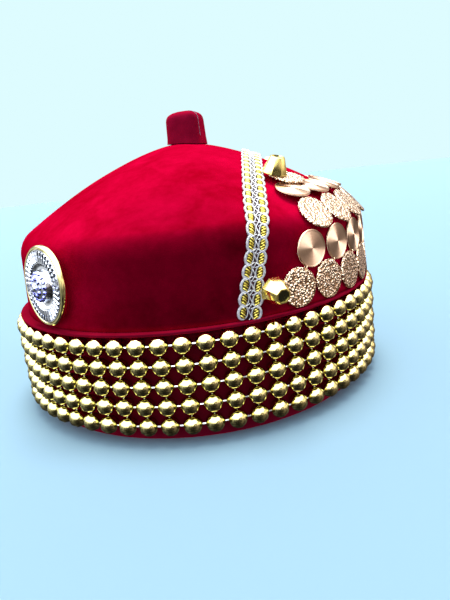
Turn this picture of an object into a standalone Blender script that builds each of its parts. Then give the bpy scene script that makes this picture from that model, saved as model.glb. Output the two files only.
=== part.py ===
"""Chieftaincy hat: a hollow velvet crown on a beaded cuff, with a braid, a brooch and a bib of linked discs.

Metres, +Z up. The origin lies on the surface that the hat rests on, under the middle of the head opening,
and +X points to the front of the hat. The wearer's right side faces -Y.
"""

import math
from collections import namedtuple

import bmesh
import bpy
from mathutils import Matrix, Vector

MM = 0.001

# Least angle between two faces that still shows as an edge
SHARP_CLOTH = math.radians(35)
SHARP_BEAD = math.radians(60)
SHARP_METAL = math.radians(20)

# Clearances
CLEARANCE = 0.3 * MM          # between pieces that are sewn or laid against each other
STRING_CLEARANCE = 0.5 * MM   # between a bead and the cuff that its string is tacked to

# Cuff: the band round the head opening
CUFF_RADIUS = 94.8 * MM       # outside, behind the beads
CUFF_THICKNESS = 2.2 * MM
CUFF_FOOT = 4.9 * MM          # bare cloth under the lowest string
HEM_THICKNESS = 1.4 * MM
HEM_OVERHANG = 2.8 * MM       # how far the turned hem stands out past the crown's wall
HEM_ROUNDING = 0.45 * MM

# Strings of beads
BEAD_DIAMETER = 8.8 * MM
BEAD_LINK = 1.3 * MM          # length of bare link between two beads
LINK_DIAMETER = 1.6 * MM
BEAD_ROWS = 5
ROW_GAP = 0.64 * MM
BEAD_PHASE = math.radians(8.3)   # turn of the first bead from the wearer's right side
BEAD_SIDES = 10
BEAD_FLANK_SHARE = 0.70          # where a bead's flank ring lies, as a share of its radius
STRING_POINT_STEP = 2.2          # bead diameters between two points of a plain string
STRING_SIDES = 8

# Crown
CROWN_THICKNESS = 2.0 * MM
CROWN_FOOT_RADIUS = 98.2 * MM
CROWN_TAPER = 1.8 * MM        # how much narrower the wall is at its top
CROWN_FORWARD = 1.5 * MM      # the crown stands this much forward of the cuff's middle
WALL_HEIGHT = 29.4 * MM
SHOULDER_RADIUS = 15.0 * MM
DOME_RISE = 38.4 * MM
DOME_FULLNESS = 1.56          # 1 is a plain cone, 2 a parabola
CROWN_SIDES = 36
EDGE_ROUNDS = 8               # rounds after which the dome's edge no longer moves

# Stalk
STALK_LENGTH = 21.0 * MM      # front to back
STALK_WIDTH = 18.0 * MM
STALK_HEIGHT = 16.4 * MM
STALK_FORWARD = 4.0 * MM      # from the crown's middle
STALK_TURN = math.radians(-14)
STALK_CORNER = 4.0            # power of the rounded-square outline, 2 is an ellipse
STALK_SIDES = 16

# Braid
BRAID_WIDTH = 11.4 * MM
BRAID_THICKNESS = 1.2 * MM
BRAID_DOME_STEPS = 9          # from the shoulder to the middle
BRAID_FOOT_FORWARD = 31.8 * MM    # distance of its middle from the crown's axis at the hem
BRAID_TOP_FORWARD = 39.2 * MM     # and over the dome
BRAID_SPUN_GAP = 3.2 * MM         # from its front edge to the end discs of the fourth row
BRAID_CORNER_GAP = 1.0 * MM       # and to the corner discs above them

# Brooch
BROOCH_DIAMETER = 38.0 * MM
BROOCH_HEIGHT = 7.0 * MM
BROOCH_AZIMUTH = math.radians(-127.8)
BROOCH_TURN = math.radians(-4.5)   # its front edge stands off the wall
BROOCH_UP = 20.4 * MM         # distance of its middle up the crown's wall
BROOCH_SIDES = 20

# Bib of discs
HAMMERED_DIAMETER = 18.3 * MM
SPUN_DIAMETER = 17.0 * MM
DISC_THICKNESS = 1.2 * MM
DISC_EDGE = 0.35 * MM         # how much the face is smaller than the back
DISC_LINK_GAP = 0.4 * MM      # least room for a link between two discs of one row
ROW_LINK_GAP = 0.9 * MM       # room for a link between two rows
BIB_HALF_ANGLE = math.radians(55.75)
SHINGLE_TILT = math.radians(10)   # lift of a disc that lies over the row below it
DISC_SIDES = 12

# Cone studs at the corners of the bib
STUD_DIAMETER = 13.0 * MM
STUD_TOP_DIAMETER = 7.2 * MM
STUD_HEIGHT = 8.0 * MM
STUD_SIDES = 8
STUD_RIM = 0.6 * MM
STUD_RECESS = 0.4 * MM
STUD_LOW_ASIDE = 14.8 * MM    # from the middle of the end disc that it is riveted over
STUD_LOW_UP = 2.0 * MM
STUD_LOW_DROOP = math.radians(13)
STUD_LOW_TURN = math.radians(6)   # towards the back of the hat
STUD_HIGH_ASIDE = 5.2 * MM
STUD_HIGH_UP = 4.1 * MM

# Sections of the brooch, from the back to the middle of the cluster
BroochSection = namedtuple("BroochSection", "radius_share height_share")
BROOCH_SECTIONS = (
    BroochSection(0.96, 0.00),
    BroochSection(1.00, 0.18),
    BroochSection(0.98, 0.40),
    BroochSection(0.90, 0.46),
    BroochSection(0.86, 0.36),
    BroochSection(0.56, 0.36),
    BroochSection(0.46, 0.22),
    BroochSection(0.40, 0.60),
    BroochSection(0.26, 0.92),
    BroochSection(0.12, 1.00),
)

# Sections of the stalk, from its foot to its crest
StalkSection = namedtuple("StalkSection", "height_share size_share")
STALK_SECTIONS = (
    StalkSection(0.00, 1.02),
    StalkSection(0.45, 0.97),
    StalkSection(0.76, 0.95),
    StalkSection(0.91, 0.80),
    StalkSection(0.98, 0.45),
)

# Rows of the bib: steps up from the first row, and the share of the tilt that they lie at. A row with a
# braid gap ends that far in front of the braid, and a corner row has only its two end discs.
BibRow = namedtuple("BibRow", "finish steps_up braid_gap tilt corners_only")
BIB_ROWS = (
    BibRow("hammered", 0.00, None, 0.0, False),
    BibRow("spun", 1.00, None, 0.0, False),
    BibRow("hammered", 1.97, None, 0.0, False),
    BibRow("spun", 3.00, BRAID_SPUN_GAP, 1.0, False),
    BibRow("hammered", 3.66, BRAID_CORNER_GAP, 1.0, True),
)

# Sizes that follow from those above
BEAD_RING_RADIUS = CUFF_RADIUS + STRING_CLEARANCE + BEAD_DIAMETER / 2
BEAD_COUNT = round(2 * math.pi * BEAD_RING_RADIUS / (BEAD_DIAMETER + BEAD_LINK))
ROW_STEP = BEAD_DIAMETER + ROW_GAP
HEM_UNDERSIDE = CUFF_FOOT + BEAD_DIAMETER + (BEAD_ROWS - 1) * ROW_STEP + CLEARANCE
HEM_TOP = HEM_UNDERSIDE + HEM_THICKNESS
CROWN_FOOT = HEM_TOP + CLEARANCE
WALL_TOP_RADIUS = CROWN_FOOT_RADIUS - CROWN_TAPER

DISC_DIAMETERS = {"hammered": HAMMERED_DIAMETER, "spun": SPUN_DIAMETER}

# A place on the crown's outer surface: lean is the angle of the outward normal above the horizontal
Station = namedtuple("Station", "radius height lean distance")


def clear_scene():
    """Remove everything that a new file holds."""
    for item in list(bpy.data.objects):
        bpy.data.objects.remove(item, do_unlink=True)


def make_material(name, colour, roughness, metallic):
    """A Principled material with one plain colour."""
    material = bpy.data.materials.new(name)
    material.use_nodes = True
    shader = material.node_tree.nodes["Principled BSDF"]
    shader.inputs["Base Color"].default_value = (*colour, 1.0)
    shader.inputs["Roughness"].default_value = roughness
    shader.inputs["Metallic"].default_value = metallic
    material.diffuse_color = (*colour, 1.0)
    return material


def add_object(name, data, material, place=Matrix.Identity(4)):
    """Link a named object with its material at a place in the world."""
    item = bpy.data.objects.new(name, data)
    item.matrix_world = place
    data.materials.append(material)
    bpy.context.scene.collection.objects.link(item)
    return item


def mesh_from(bm, name, sharp_angle=SHARP_CLOTH):
    """Finish a bmesh: outward faces, smooth shading broken at sharp edges."""
    bmesh.ops.recalc_face_normals(bm, faces=bm.faces)
    mesh = bpy.data.meshes.new(name)
    bm.to_mesh(mesh)
    bm.free()
    mesh.shade_smooth()
    mesh.set_sharp_from_angle(angle=sharp_angle)
    return mesh


def add_ring(bm, points):
    """Add one ring of vertices."""
    return [bm.verts.new(point) for point in points]


def skin_rings(bm, rings, closed):
    """Join each ring to the next with faces, and the last to the first if the row of rings is closed."""
    pairs = list(zip(rings, rings[1:]))
    if closed:
        pairs.append((rings[-1], rings[0]))
    for low, high in pairs:
        for corner in range(len(low)):
            after = (corner + 1) % len(low)
            bm.faces.new((low[corner], low[after], high[after], high[corner]))


def circle_points(radius, sides, height=0.0):
    """Corners of a level polygon round the Z axis."""
    turns = [2 * math.pi * side / sides for side in range(sides)]
    return [(radius * math.cos(turn), radius * math.sin(turn), height) for turn in turns]


def turned_mesh(name, profile, sides):
    """A solid turned round Z from (radius, height) pairs, with a flat face at each end."""
    bm = bmesh.new()
    rings = [add_ring(bm, circle_points(radius, sides, height)) for radius, height in profile]
    skin_rings(bm, rings, closed=False)
    bm.faces.new(rings[0])
    bm.faces.new(rings[-1])
    return mesh_from(bm, name, SHARP_METAL)


def dome_edge():
    """Radius and slope of the dome where it meets the shoulder's arc without a break."""
    radius = WALL_TOP_RADIUS - SHOULDER_RADIUS / 2
    for _ in range(EDGE_ROUNDS):
        slope = math.atan(DOME_FULLNESS * DOME_RISE / radius)
        radius = WALL_TOP_RADIUS - SHOULDER_RADIUS * (1 - math.sin(slope))
    return radius, slope


def crown_stations(wall_steps, shoulder_steps, dome_steps):
    """Stations from the crown's foot to its apex, along the outer surface."""
    edge_radius, edge_slope = dome_edge()
    wall_lean = math.atan2(CROWN_TAPER, WALL_HEIGHT)
    arc_centre = (WALL_TOP_RADIUS - SHOULDER_RADIUS, CROWN_FOOT + WALL_HEIGHT)
    edge_height = arc_centre[1] + SHOULDER_RADIUS * math.cos(edge_slope)

    places = []
    for step in range(wall_steps):
        share = step / wall_steps
        radius = CROWN_FOOT_RADIUS - CROWN_TAPER * share
        places.append((radius, CROWN_FOOT + WALL_HEIGHT * share, wall_lean))
    for step in range(shoulder_steps):
        lean = (math.pi / 2 - edge_slope) * step / shoulder_steps
        radius = arc_centre[0] + SHOULDER_RADIUS * math.cos(lean)
        places.append((radius, arc_centre[1] + SHOULDER_RADIUS * math.sin(lean), lean))
    for step in range(dome_steps + 1):
        share = 1 - step / dome_steps
        height = edge_height + DOME_RISE * (1 - share ** DOME_FULLNESS)
        slope = math.atan(math.tan(edge_slope) * share ** (DOME_FULLNESS - 1))
        places.append((edge_radius * share, height, math.pi / 2 - slope))

    stations = []
    distance = 0.0
    for radius, height, lean in places:
        if stations:
            distance += math.hypot(radius - stations[-1].radius, height - stations[-1].height)
        stations.append(Station(radius, height, lean, distance))
    return stations


FINE_STATIONS = crown_stations(wall_steps=4, shoulder_steps=16, dome_steps=60)


def station_where(value, column):
    """Station between two fine ones, where the named column passes a value."""
    for before, after in zip(FINE_STATIONS, FINE_STATIONS[1:]):
        low, high = getattr(before, column), getattr(after, column)
        if min(low, high) <= value <= max(low, high) and high != low:
            share = (value - low) / (high - low)
            return Station(*(a + (b - a) * share for a, b in zip(before, after)))
    return FINE_STATIONS[-1]


def place_on_crown(station, azimuth, lift):
    """Frame on the crown: X runs round it, Y up its slope, Z out of it."""
    outward = Vector((math.cos(azimuth), math.sin(azimuth), 0.0))
    along = Vector((-math.sin(azimuth), math.cos(azimuth), 0.0))
    normal = outward * math.cos(station.lean) + Vector((0.0, 0.0, math.sin(station.lean)))
    up_slope = normal.cross(along)
    origin = outward * station.radius + Vector((CROWN_FORWARD, 0.0, station.height)) + normal * lift
    return Matrix((
        (along.x, up_slope.x, normal.x, origin.x),
        (along.y, up_slope.y, normal.y, origin.y),
        (along.z, up_slope.z, normal.z, origin.z),
        (0.0, 0.0, 0.0, 1.0),
    ))


def build_crown(velvet):
    """The hollow crown: a turned sheet with its wall added inwards."""
    bm = bmesh.new()
    stations = crown_stations(wall_steps=1, shoulder_steps=3, dome_steps=6)
    rings = [add_ring(bm, circle_points(s.radius, CROWN_SIDES, s.height)) for s in stations[:-1]]
    skin_rings(bm, rings, closed=False)
    apex = bm.verts.new((0.0, 0.0, stations[-1].height))
    for side, corner in enumerate(rings[-1]):
        bm.faces.new((corner, rings[-1][(side + 1) % CROWN_SIDES], apex))
    place = Matrix.Translation((CROWN_FORWARD, 0.0, 0.0))
    crown = add_object("crown", mesh_from(bm, "crown"), velvet, place)
    wall = crown.modifiers.new("cloth wall", "SOLIDIFY")
    wall.thickness = CROWN_THICKNESS
    wall.offset = -1
    wall.use_even_offset = True


def build_cuff(velvet):
    """The cuff and its turned hem, one closed section turned round the head opening."""
    hem_radius = CROWN_FOOT_RADIUS + HEM_OVERHANG
    inner_radius = CUFF_RADIUS - CUFF_THICKNESS
    profile = (
        (inner_radius, 0.0),
        (CUFF_RADIUS, 0.0),
        (CUFF_RADIUS, HEM_UNDERSIDE),
        (hem_radius - HEM_ROUNDING, HEM_UNDERSIDE),
        (hem_radius, HEM_UNDERSIDE + HEM_ROUNDING),
        (hem_radius, HEM_TOP - HEM_ROUNDING),
        (hem_radius - HEM_ROUNDING, HEM_TOP),
        (inner_radius, HEM_TOP),
    )
    bm = bmesh.new()
    rings = [add_ring(bm, circle_points(radius, BEAD_COUNT, height)) for radius, height in profile]
    skin_rings(bm, rings, closed=True)
    add_object("cuff", mesh_from(bm, "cuff"), velvet)


def build_stalk(velvet):
    """The stuffed stub on the dome, its foot shaped to the dome."""
    centre = Vector((STALK_FORWARD, 0.0, 0.0))
    turn = Matrix.Rotation(STALK_TURN, 3, "Z")
    foot_height = FINE_STATIONS[-1].height + CLEARANCE

    def outline(size_share):
        for side in range(STALK_SIDES):
            angle = 2 * math.pi * (side + 0.5) / STALK_SIDES
            x, y = math.cos(angle), math.sin(angle)
            reach = (abs(x) ** STALK_CORNER + abs(y) ** STALK_CORNER) ** (-1 / STALK_CORNER)
            corner = Vector((x * STALK_LENGTH / 2, y * STALK_WIDTH / 2, 0.0)) * reach * size_share
            yield centre + turn @ corner

    bm = bmesh.new()
    rings = []
    for section in STALK_SECTIONS:
        points = []
        for corner in outline(section.size_share):
            height = foot_height + STALK_HEIGHT * section.height_share
            if section.height_share == 0.0:
                height = station_where(corner.xy.length, "radius").height + CLEARANCE
            points.append((corner.x, corner.y, height))
        rings.append(add_ring(bm, points))
    skin_rings(bm, rings, closed=False)
    foot = bm.verts.new((centre.x, centre.y, foot_height))
    crest = bm.verts.new((centre.x, centre.y, foot_height + STALK_HEIGHT))
    for side in range(STALK_SIDES):
        after = (side + 1) % STALK_SIDES
        bm.faces.new((rings[0][after], rings[0][side], foot))
        bm.faces.new((rings[-1][side], rings[-1][after], crest))
    place = Matrix.Translation((CROWN_FORWARD, 0.0, 0.0))
    add_object("stalk", mesh_from(bm, "stalk"), velvet, place)


def string_height(row):
    """Height of a string's middle, the top string being row 0."""
    return CUFF_FOOT + BEAD_DIAMETER / 2 + (BEAD_ROWS - 1 - row) * ROW_STEP


def build_bead_string(name, height, gold):
    """A string of real beads, fused with its links into one body: a ring whose girth follows the beads."""
    bead_radius = BEAD_DIAMETER / 2
    link_radius = LINK_DIAMETER / 2
    pitch_angle = 2 * math.pi / BEAD_COUNT
    flank = BEAD_FLANK_SHARE * bead_radius
    flank_radius = math.sqrt(bead_radius ** 2 - flank ** 2)
    flank_turn = flank / BEAD_RING_RADIUS
    girths = (
        (-flank_turn, flank_radius),
        (0.0, bead_radius),
        (flank_turn, flank_radius),
        (pitch_angle / 2, link_radius),
    )
    bm = bmesh.new()
    rings = []
    for bead in range(BEAD_COUNT):
        for turn, girth in girths:
            azimuth = -math.pi / 2 + BEAD_PHASE + bead * pitch_angle + turn
            points = []
            for side in range(BEAD_SIDES):
                angle = 2 * math.pi * side / BEAD_SIDES
                radius = BEAD_RING_RADIUS + girth * math.cos(angle)
                points.append((radius * math.cos(azimuth), radius * math.sin(azimuth),
                               height + girth * math.sin(angle)))
            rings.append(add_ring(bm, points))
    skin_rings(bm, rings, closed=True)
    add_object(name, mesh_from(bm, name, SHARP_BEAD), gold)


def build_plain_string(name, height, gold):
    """A string that keeps only its thickness: a closed round tube in place of its beads."""
    # a multiple of four points, so that the string reaches as far on each of its four sides
    quarter_turn = math.pi / 2 * BEAD_RING_RADIUS
    points = 4 * round(quarter_turn / (STRING_POINT_STEP * BEAD_DIAMETER))
    sag = BEAD_RING_RADIUS * (1 - math.cos(math.pi / points))
    curve = bpy.data.curves.new(name, "CURVE")
    curve.dimensions = "3D"
    curve.bevel_depth = BEAD_DIAMETER / 2
    curve.bevel_resolution = STRING_SIDES // 2 - 2
    curve.use_fill_caps = True
    spline = curve.splines.new("POLY")
    spline.points.add(points - 1)
    for point, corner in zip(spline.points, circle_points(BEAD_RING_RADIUS + sag / 2, points, height)):
        point.co = (*corner, 1.0)
    spline.use_cyclic_u = True
    add_object(name, curve, gold)


def braid_route():
    """Frames along the braid's middle, from the hem over the dome to the opposite hem."""
    stations = crown_stations(wall_steps=4, shoulder_steps=5, dome_steps=1)[:-1]
    dome_foot = stations.pop().height
    half = []
    for station in stations:
        climb = (station.height - CROWN_FOOT) / (dome_foot - CROWN_FOOT)
        forward = BRAID_FOOT_FORWARD + (BRAID_TOP_FORWARD - BRAID_FOOT_FORWARD) * climb
        azimuth = -math.acos(forward / station.radius)
        half.append((station, azimuth))
    first_aside = math.sqrt(stations[-1].radius ** 2 - BRAID_TOP_FORWARD ** 2)
    for step in range(1, BRAID_DOME_STEPS + 1):
        aside = first_aside * (1 - step / BRAID_DOME_STEPS)
        station = station_where(math.hypot(BRAID_TOP_FORWARD, aside), "radius")
        half.append((station, -math.atan2(aside, BRAID_TOP_FORWARD)))
    return half + [(station, -azimuth) for station, azimuth in reversed(half[:-1])]


def build_braid(trim):
    """The braid: a flat strip that lies on the crown all the way."""
    frames = [place_on_crown(station, azimuth, CLEARANCE) for station, azimuth in braid_route()]
    bm = bmesh.new()
    rings = []
    for index, frame in enumerate(frames):
        before = frames[max(index - 1, 0)].translation
        after = frames[min(index + 1, len(frames) - 1)].translation
        normal = frame.to_3x3() @ Vector((0.0, 0.0, 1.0))
        across = (after - before).cross(normal)
        if index in (0, len(frames) - 1):
            across.z = 0.0      # both feet are cut level, along the hem
        across = across.normalized() * BRAID_WIDTH / 2
        back = frame.translation
        face = back + normal * BRAID_THICKNESS
        rings.append(add_ring(bm, (back - across, back + across, face + across, face - across)))
    skin_rings(bm, rings, closed=False)
    bm.faces.new(rings[0])
    bm.faces.new(rings[-1])
    add_object("braid", mesh_from(bm, "braid"), trim)


def build_brooch(silver):
    """The brooch: rim, stone rings and centre cluster turned in one, laid flat against the crown's wall."""
    profile = [(s.radius_share * BROOCH_DIAMETER / 2, s.height_share * BROOCH_HEIGHT)
               for s in BROOCH_SECTIONS]
    station = station_where(BROOCH_UP, "distance")
    lift = CLEARANCE + station.radius * (1 - math.cos(BROOCH_TURN))
    place = place_on_crown(station, BROOCH_AZIMUTH, lift) @ Matrix.Rotation(BROOCH_TURN, 4, "Y")
    add_object("brooch", turned_mesh("brooch", profile, BROOCH_SIDES), silver, place)


def disc_frame(row, azimuth, distance):
    """Frame of a disc's back. A tilted one keeps its upper edge on the crown and lifts its lower edge."""
    frame = place_on_crown(station_where(distance, "distance"), azimuth, CLEARANCE)
    upper_edge = Matrix.Translation((0.0, DISC_DIAMETERS[row.finish] / 2, 0.0))
    tilt = Matrix.Rotation(-row.tilt * SHINGLE_TILT, 4, "X")
    return frame @ upper_edge @ tilt @ upper_edge.inverted()


def bib_frames():
    """Finish and frames of every row of discs, from the hem upwards."""
    first_radius = CROWN_FOOT_RADIUS + CLEARANCE
    first_arc = 2 * BIB_HALF_ANGLE * first_radius
    first_count = 1 + int(first_arc / (HAMMERED_DIAMETER + DISC_LINK_GAP))
    pitch_angle = 2 * BIB_HALF_ANGLE / (first_count - 1)
    pitch = pitch_angle * first_radius
    diagonal = (HAMMERED_DIAMETER + SPUN_DIAMETER) / 2 + ROW_LINK_GAP
    row_step = math.sqrt(diagonal ** 2 - (pitch / 2) ** 2)
    first_up = HAMMERED_DIAMETER / 2

    rows = []
    for number, row in enumerate(BIB_ROWS):
        distance = first_up + row.steps_up * row_step
        radius = station_where(distance, "distance").radius
        diameter = DISC_DIAMETERS[row.finish]
        if row.braid_gap is None:
            count = first_count - number
            end_angle = BIB_HALF_ANGLE - number * pitch_angle / 2
        else:
            forward = BRAID_TOP_FORWARD + BRAID_WIDTH / 2 + row.braid_gap + diameter / 2
            end_angle = math.acos(forward / radius)
            count = 1 + int(2 * end_angle * radius / (diameter + DISC_LINK_GAP))
        if row.corners_only:
            count = 2
        azimuths = [end_angle * (2 * place / (count - 1) - 1) for place in range(count)]
        rows.append((row.finish, [disc_frame(row, azimuth, distance) for azimuth in azimuths]))
    return rows


def build_bib(rows, finishes):
    """The discs of the bib, each kind with its own shared mesh."""
    for number, (finish, frames) in enumerate(rows, start=1):
        radius = DISC_DIAMETERS[finish] / 2
        profile = ((radius, 0.0), (radius - DISC_EDGE, DISC_THICKNESS))
        mesh = turned_mesh(f"{finish}_disc_{number}", profile, DISC_SIDES)
        for place, frame in enumerate(frames, start=1):
            item = bpy.data.objects.new(f"disc_{number}_{place:02d}", mesh)
            item.matrix_world = frame
            bpy.context.scene.collection.objects.link(item)
        mesh.materials.append(finishes[finish])


def build_studs(rows, gold):
    """The cone studs, riveted over the end discs of the first and the last row."""
    radius = STUD_DIAMETER / 2
    top_radius = STUD_TOP_DIAMETER / 2
    profile = (
        (radius, 0.0),
        (top_radius, STUD_HEIGHT),
        (top_radius - STUD_RIM, STUD_HEIGHT),
        (top_radius - STUD_RIM, STUD_HEIGHT - STUD_RECESS),
    )
    over_disc = DISC_THICKNESS + 2 * CLEARANCE
    first_row, last_row = rows[0][1], rows[-1][1]
    droop = Matrix.Rotation(STUD_LOW_DROOP, 4, "X")
    half_side = Matrix.Rotation(math.pi / STUD_SIDES, 4, "Z")
    for side, end, mirror in (("right", 0, -1), ("left", -1, 1)):
        low = Matrix.Translation((mirror * STUD_LOW_ASIDE, STUD_LOW_UP, over_disc))
        high = Matrix.Translation((mirror * STUD_HIGH_ASIDE, STUD_HIGH_UP, over_disc))
        low_turn = Matrix.Rotation(mirror * STUD_LOW_TURN, 4, "Y") @ droop
        places = {
            f"stud_low_{side}": first_row[end] @ low @ low_turn,
            f"stud_high_{side}": last_row[end] @ high,
        }
        for name, place in places.items():
            add_object(name, turned_mesh(name, profile, STUD_SIDES), gold, place @ half_side)


def main():
    clear_scene()
    velvet = make_material("red_velvet", (0.45, 0.004, 0.025), 0.85, 0.0)
    bead_gold = make_material("bead_gold", (0.80, 0.62, 0.22), 0.18, 1.0)
    stud_gold = make_material("stud_gold", (0.90, 0.72, 0.20), 0.12, 1.0)
    braid_trim = make_material("gold_white_braid", (0.78, 0.74, 0.45), 0.60, 0.0)
    brooch_silver = make_material("brooch_silver", (0.72, 0.72, 0.76), 0.15, 1.0)
    finishes = {
        "hammered": make_material("hammered_champagne", (0.80, 0.60, 0.42), 0.30, 1.0),
        "spun": make_material("spun_rose_gold", (0.82, 0.56, 0.38), 0.25, 1.0),
    }
    build_crown(velvet)
    build_cuff(velvet)
    build_stalk(velvet)
    for row in range(BEAD_ROWS):
        build_row = build_bead_string if row == 0 else build_plain_string
        build_row(f"bead_row_{row + 1}", string_height(row), bead_gold)
    build_braid(braid_trim)
    build_brooch(brooch_silver)
    rows = bib_frames()
    build_bib(rows, finishes)
    build_studs(rows, stud_gold)


main()
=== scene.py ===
"""Looks of the chieftaincy hat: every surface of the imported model, dressed as the real one.

Metres, +Z up. +X is the front of the hat, and the wearer's right side faces -Y.
"""

import logging
import math
from collections.abc import Iterable, Mapping, Sequence
from dataclasses import dataclass, field
from enum import Enum

import bmesh
import bpy
from mathutils import Matrix, Vector, noise


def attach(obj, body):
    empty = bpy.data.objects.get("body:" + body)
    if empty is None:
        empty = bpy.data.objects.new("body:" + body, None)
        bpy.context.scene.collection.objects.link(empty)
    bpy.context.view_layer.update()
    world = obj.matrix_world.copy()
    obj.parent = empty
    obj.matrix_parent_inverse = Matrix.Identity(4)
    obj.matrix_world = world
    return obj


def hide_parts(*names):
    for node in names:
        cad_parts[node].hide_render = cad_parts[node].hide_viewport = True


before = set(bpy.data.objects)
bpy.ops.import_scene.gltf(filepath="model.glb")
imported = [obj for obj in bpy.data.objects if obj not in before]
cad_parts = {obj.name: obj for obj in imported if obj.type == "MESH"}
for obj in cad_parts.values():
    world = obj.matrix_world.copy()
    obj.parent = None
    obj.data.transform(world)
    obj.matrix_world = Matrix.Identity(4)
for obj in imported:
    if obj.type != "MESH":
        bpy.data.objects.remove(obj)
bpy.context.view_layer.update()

MM = 0.001
BODY = "root"
CLEARANCE = 0.3 * MM
DOUBLE = 1e-6

UP = Vector((0.0, 0.0, 1.0))

# The least angle in degrees that shows as an edge, on cut stones, studs, plates and what is round all over
CUT, STUD, EDGED, ROUND = 5.0, 18.0, 40.0, 80.0

LOG = logging.getLogger("hat")

# Places of a Mix node's sockets: the factor, its two numbers, its two colours and the colour that comes out
MIX_FACTOR, MIX_LOW, MIX_HIGH, MIX_A, MIX_B, MIX_RESULT = 0, 2, 3, 6, 7, 2

# Diagonal bands that a Wave texture of scale 1 draws in one metre
BANDS_PER_METRE = 10 * math.sqrt(3) / math.tau


def linear(code: str) -> tuple[float, float, float, float]:
    """Turn an sRGB colour into the linear values that shaders read.

    Args:
        code: Six hex digits, such as "C8102E".

    Returns:
        Red, green, blue and an opaque alpha.
    """
    values = []
    for start in (0, 2, 4):
        share = int(code[start:start + 2], 16) / 255
        values.append(share / 12.92 if share <= 0.04045 else ((share + 0.055) / 1.055) ** 2.4)
    return (values[0], values[1], values[2], 1.0)


def set_inputs(tree: bpy.types.NodeTree, node: bpy.types.Node, inputs: Mapping[str | int, object]) -> None:
    """Give a node's inputs their values and links.

    Args:
        tree: The node tree that the node is in.
        node: The node.
        inputs: A value or an output socket for each named or numbered input.
    """
    for name, value in inputs.items():
        if isinstance(value, bpy.types.NodeSocket):
            tree.links.new(value, node.inputs[name])
        else:
            node.inputs[name].default_value = value


def add_node(
    tree: bpy.types.NodeTree,
    kind: str,
    inputs: Mapping[str | int, object] | None = None,
    **settings: object,
) -> bpy.types.Node:
    """Add a node with its settings, values and links.

    Args:
        tree: The node tree that it goes into.
        kind: The node's type name.
        inputs: A value or an output socket for each named or numbered input.
        **settings: The node's own properties.

    Returns:
        The new node.
    """
    made = tree.nodes.new(kind)
    for name, value in settings.items():
        setattr(made, name, value)
    set_inputs(tree, made, inputs or {})
    return made


def start_material(name: str) -> tuple[bpy.types.Material, bpy.types.NodeTree, bpy.types.Node]:
    """Start a material.

    Args:
        name: The material's name.

    Returns:
        The material, its node tree and its Principled shader.
    """
    material = bpy.data.materials.new(name)
    material.use_nodes = True
    tree = material.node_tree
    return material, tree, tree.nodes["Principled BSDF"]


def finish_piece(
    name: str,
    mesh: bpy.types.Mesh,
    materials: Sequence[bpy.types.Material],
    stands_for: Sequence[str] = (),
    crease: float = 35.0,
) -> bpy.types.Object:
    """Make a mesh a piece of the hat that rides on its body.

    Args:
        name: The piece's name.
        mesh: Its mesh, with its place in its vertices.
        materials: The mesh's materials, in the order of their face indices.
        stands_for: The CAD nodes that the piece replaces.
        crease: The least angle between two faces, in degrees, that shows as an edge.

    Returns:
        The finished piece.
    """
    mesh.name = name
    for material in materials:
        mesh.materials.append(material)
    mesh.shade_smooth()
    mesh.set_sharp_from_angle(angle=math.radians(crease))
    piece = bpy.data.objects.new(name, mesh)
    bpy.context.scene.collection.objects.link(piece)
    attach(piece, BODY)
    if stands_for:
        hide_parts(*stands_for)
    LOG.info("%s: %d faces", name, len(mesh.polygons))
    return piece


def as_mesh(bm: bmesh.types.BMesh, name: str) -> bpy.types.Mesh:
    """Make a bmesh a mesh just as it is, so that copies that touch don't merge.

    Args:
        bm: The bmesh, which is freed.
        name: The mesh's name.

    Returns:
        The mesh.
    """
    mesh = bpy.data.meshes.new(name)
    bm.to_mesh(mesh)
    bm.free()
    return mesh


def closed_mesh(bm: bmesh.types.BMesh, name: str) -> bpy.types.Mesh:
    """Merge a bmesh's doubles, turn its faces outwards and make it a mesh.

    Args:
        bm: The bmesh, which is freed.
        name: The mesh's name.

    Returns:
        The mesh.
    """
    bmesh.ops.remove_doubles(bm, verts=bm.verts, dist=DOUBLE)
    bmesh.ops.recalc_face_normals(bm, faces=bm.faces)
    return as_mesh(bm, name)


def frame_of(x_axis: Vector, y_axis: Vector, z_axis: Vector, origin: Vector) -> Matrix:
    """Make a frame.

    Args:
        x_axis: Its X direction, of unit length like the next two.
        y_axis: Its Y direction.
        z_axis: Its Z direction.
        origin: Its origin.

    Returns:
        The frame.
    """
    made = Matrix((x_axis, y_axis, z_axis)).transposed().to_4x4()
    made.translation = origin
    return made


def stamp(bm: bmesh.types.BMesh, unit: bpy.types.Mesh, places: Iterable[Matrix]) -> None:
    """Add a copy of a unit mesh at each place.

    Args:
        bm: The bmesh that the copies go into.
        unit: The mesh to copy, round its own origin.
        places: Where the copies go.
    """
    for place in places:
        unit.transform(place)
        bm.from_mesh(unit)
        unit.transform(place.inverted())


def spin_whole(bm: bmesh.types.BMesh, steps: int) -> None:
    """Spin all that a bmesh holds once round Z.

    Args:
        bm: The bmesh.
        steps: How many steps the turn has.
    """
    bmesh.ops.spin(
        bm, geom=[*bm.verts, *bm.edges], cent=(0, 0, 0), axis=(0, 0, 1), dvec=(0, 0, 0),
        angle=math.tau, steps=steps, use_merge=True, use_normal_flip=False, use_duplicate=False)


def turned(name: str, profile: Sequence[tuple[float, float]], steps: int) -> bpy.types.Mesh:
    """Spin a line of points round Z.

    Args:
        name: The mesh's name.
        profile: Radius and height of each point.
        steps: How many steps the turn has.

    Returns:
        The turned mesh.
    """
    bm = bmesh.new()
    line = [bm.verts.new((radius, 0.0, height)) for radius, height in profile]
    for pair in zip(line, line[1:]):
        bm.edges.new(pair)
    spin_whole(bm, steps)
    return closed_mesh(bm, name)


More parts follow.
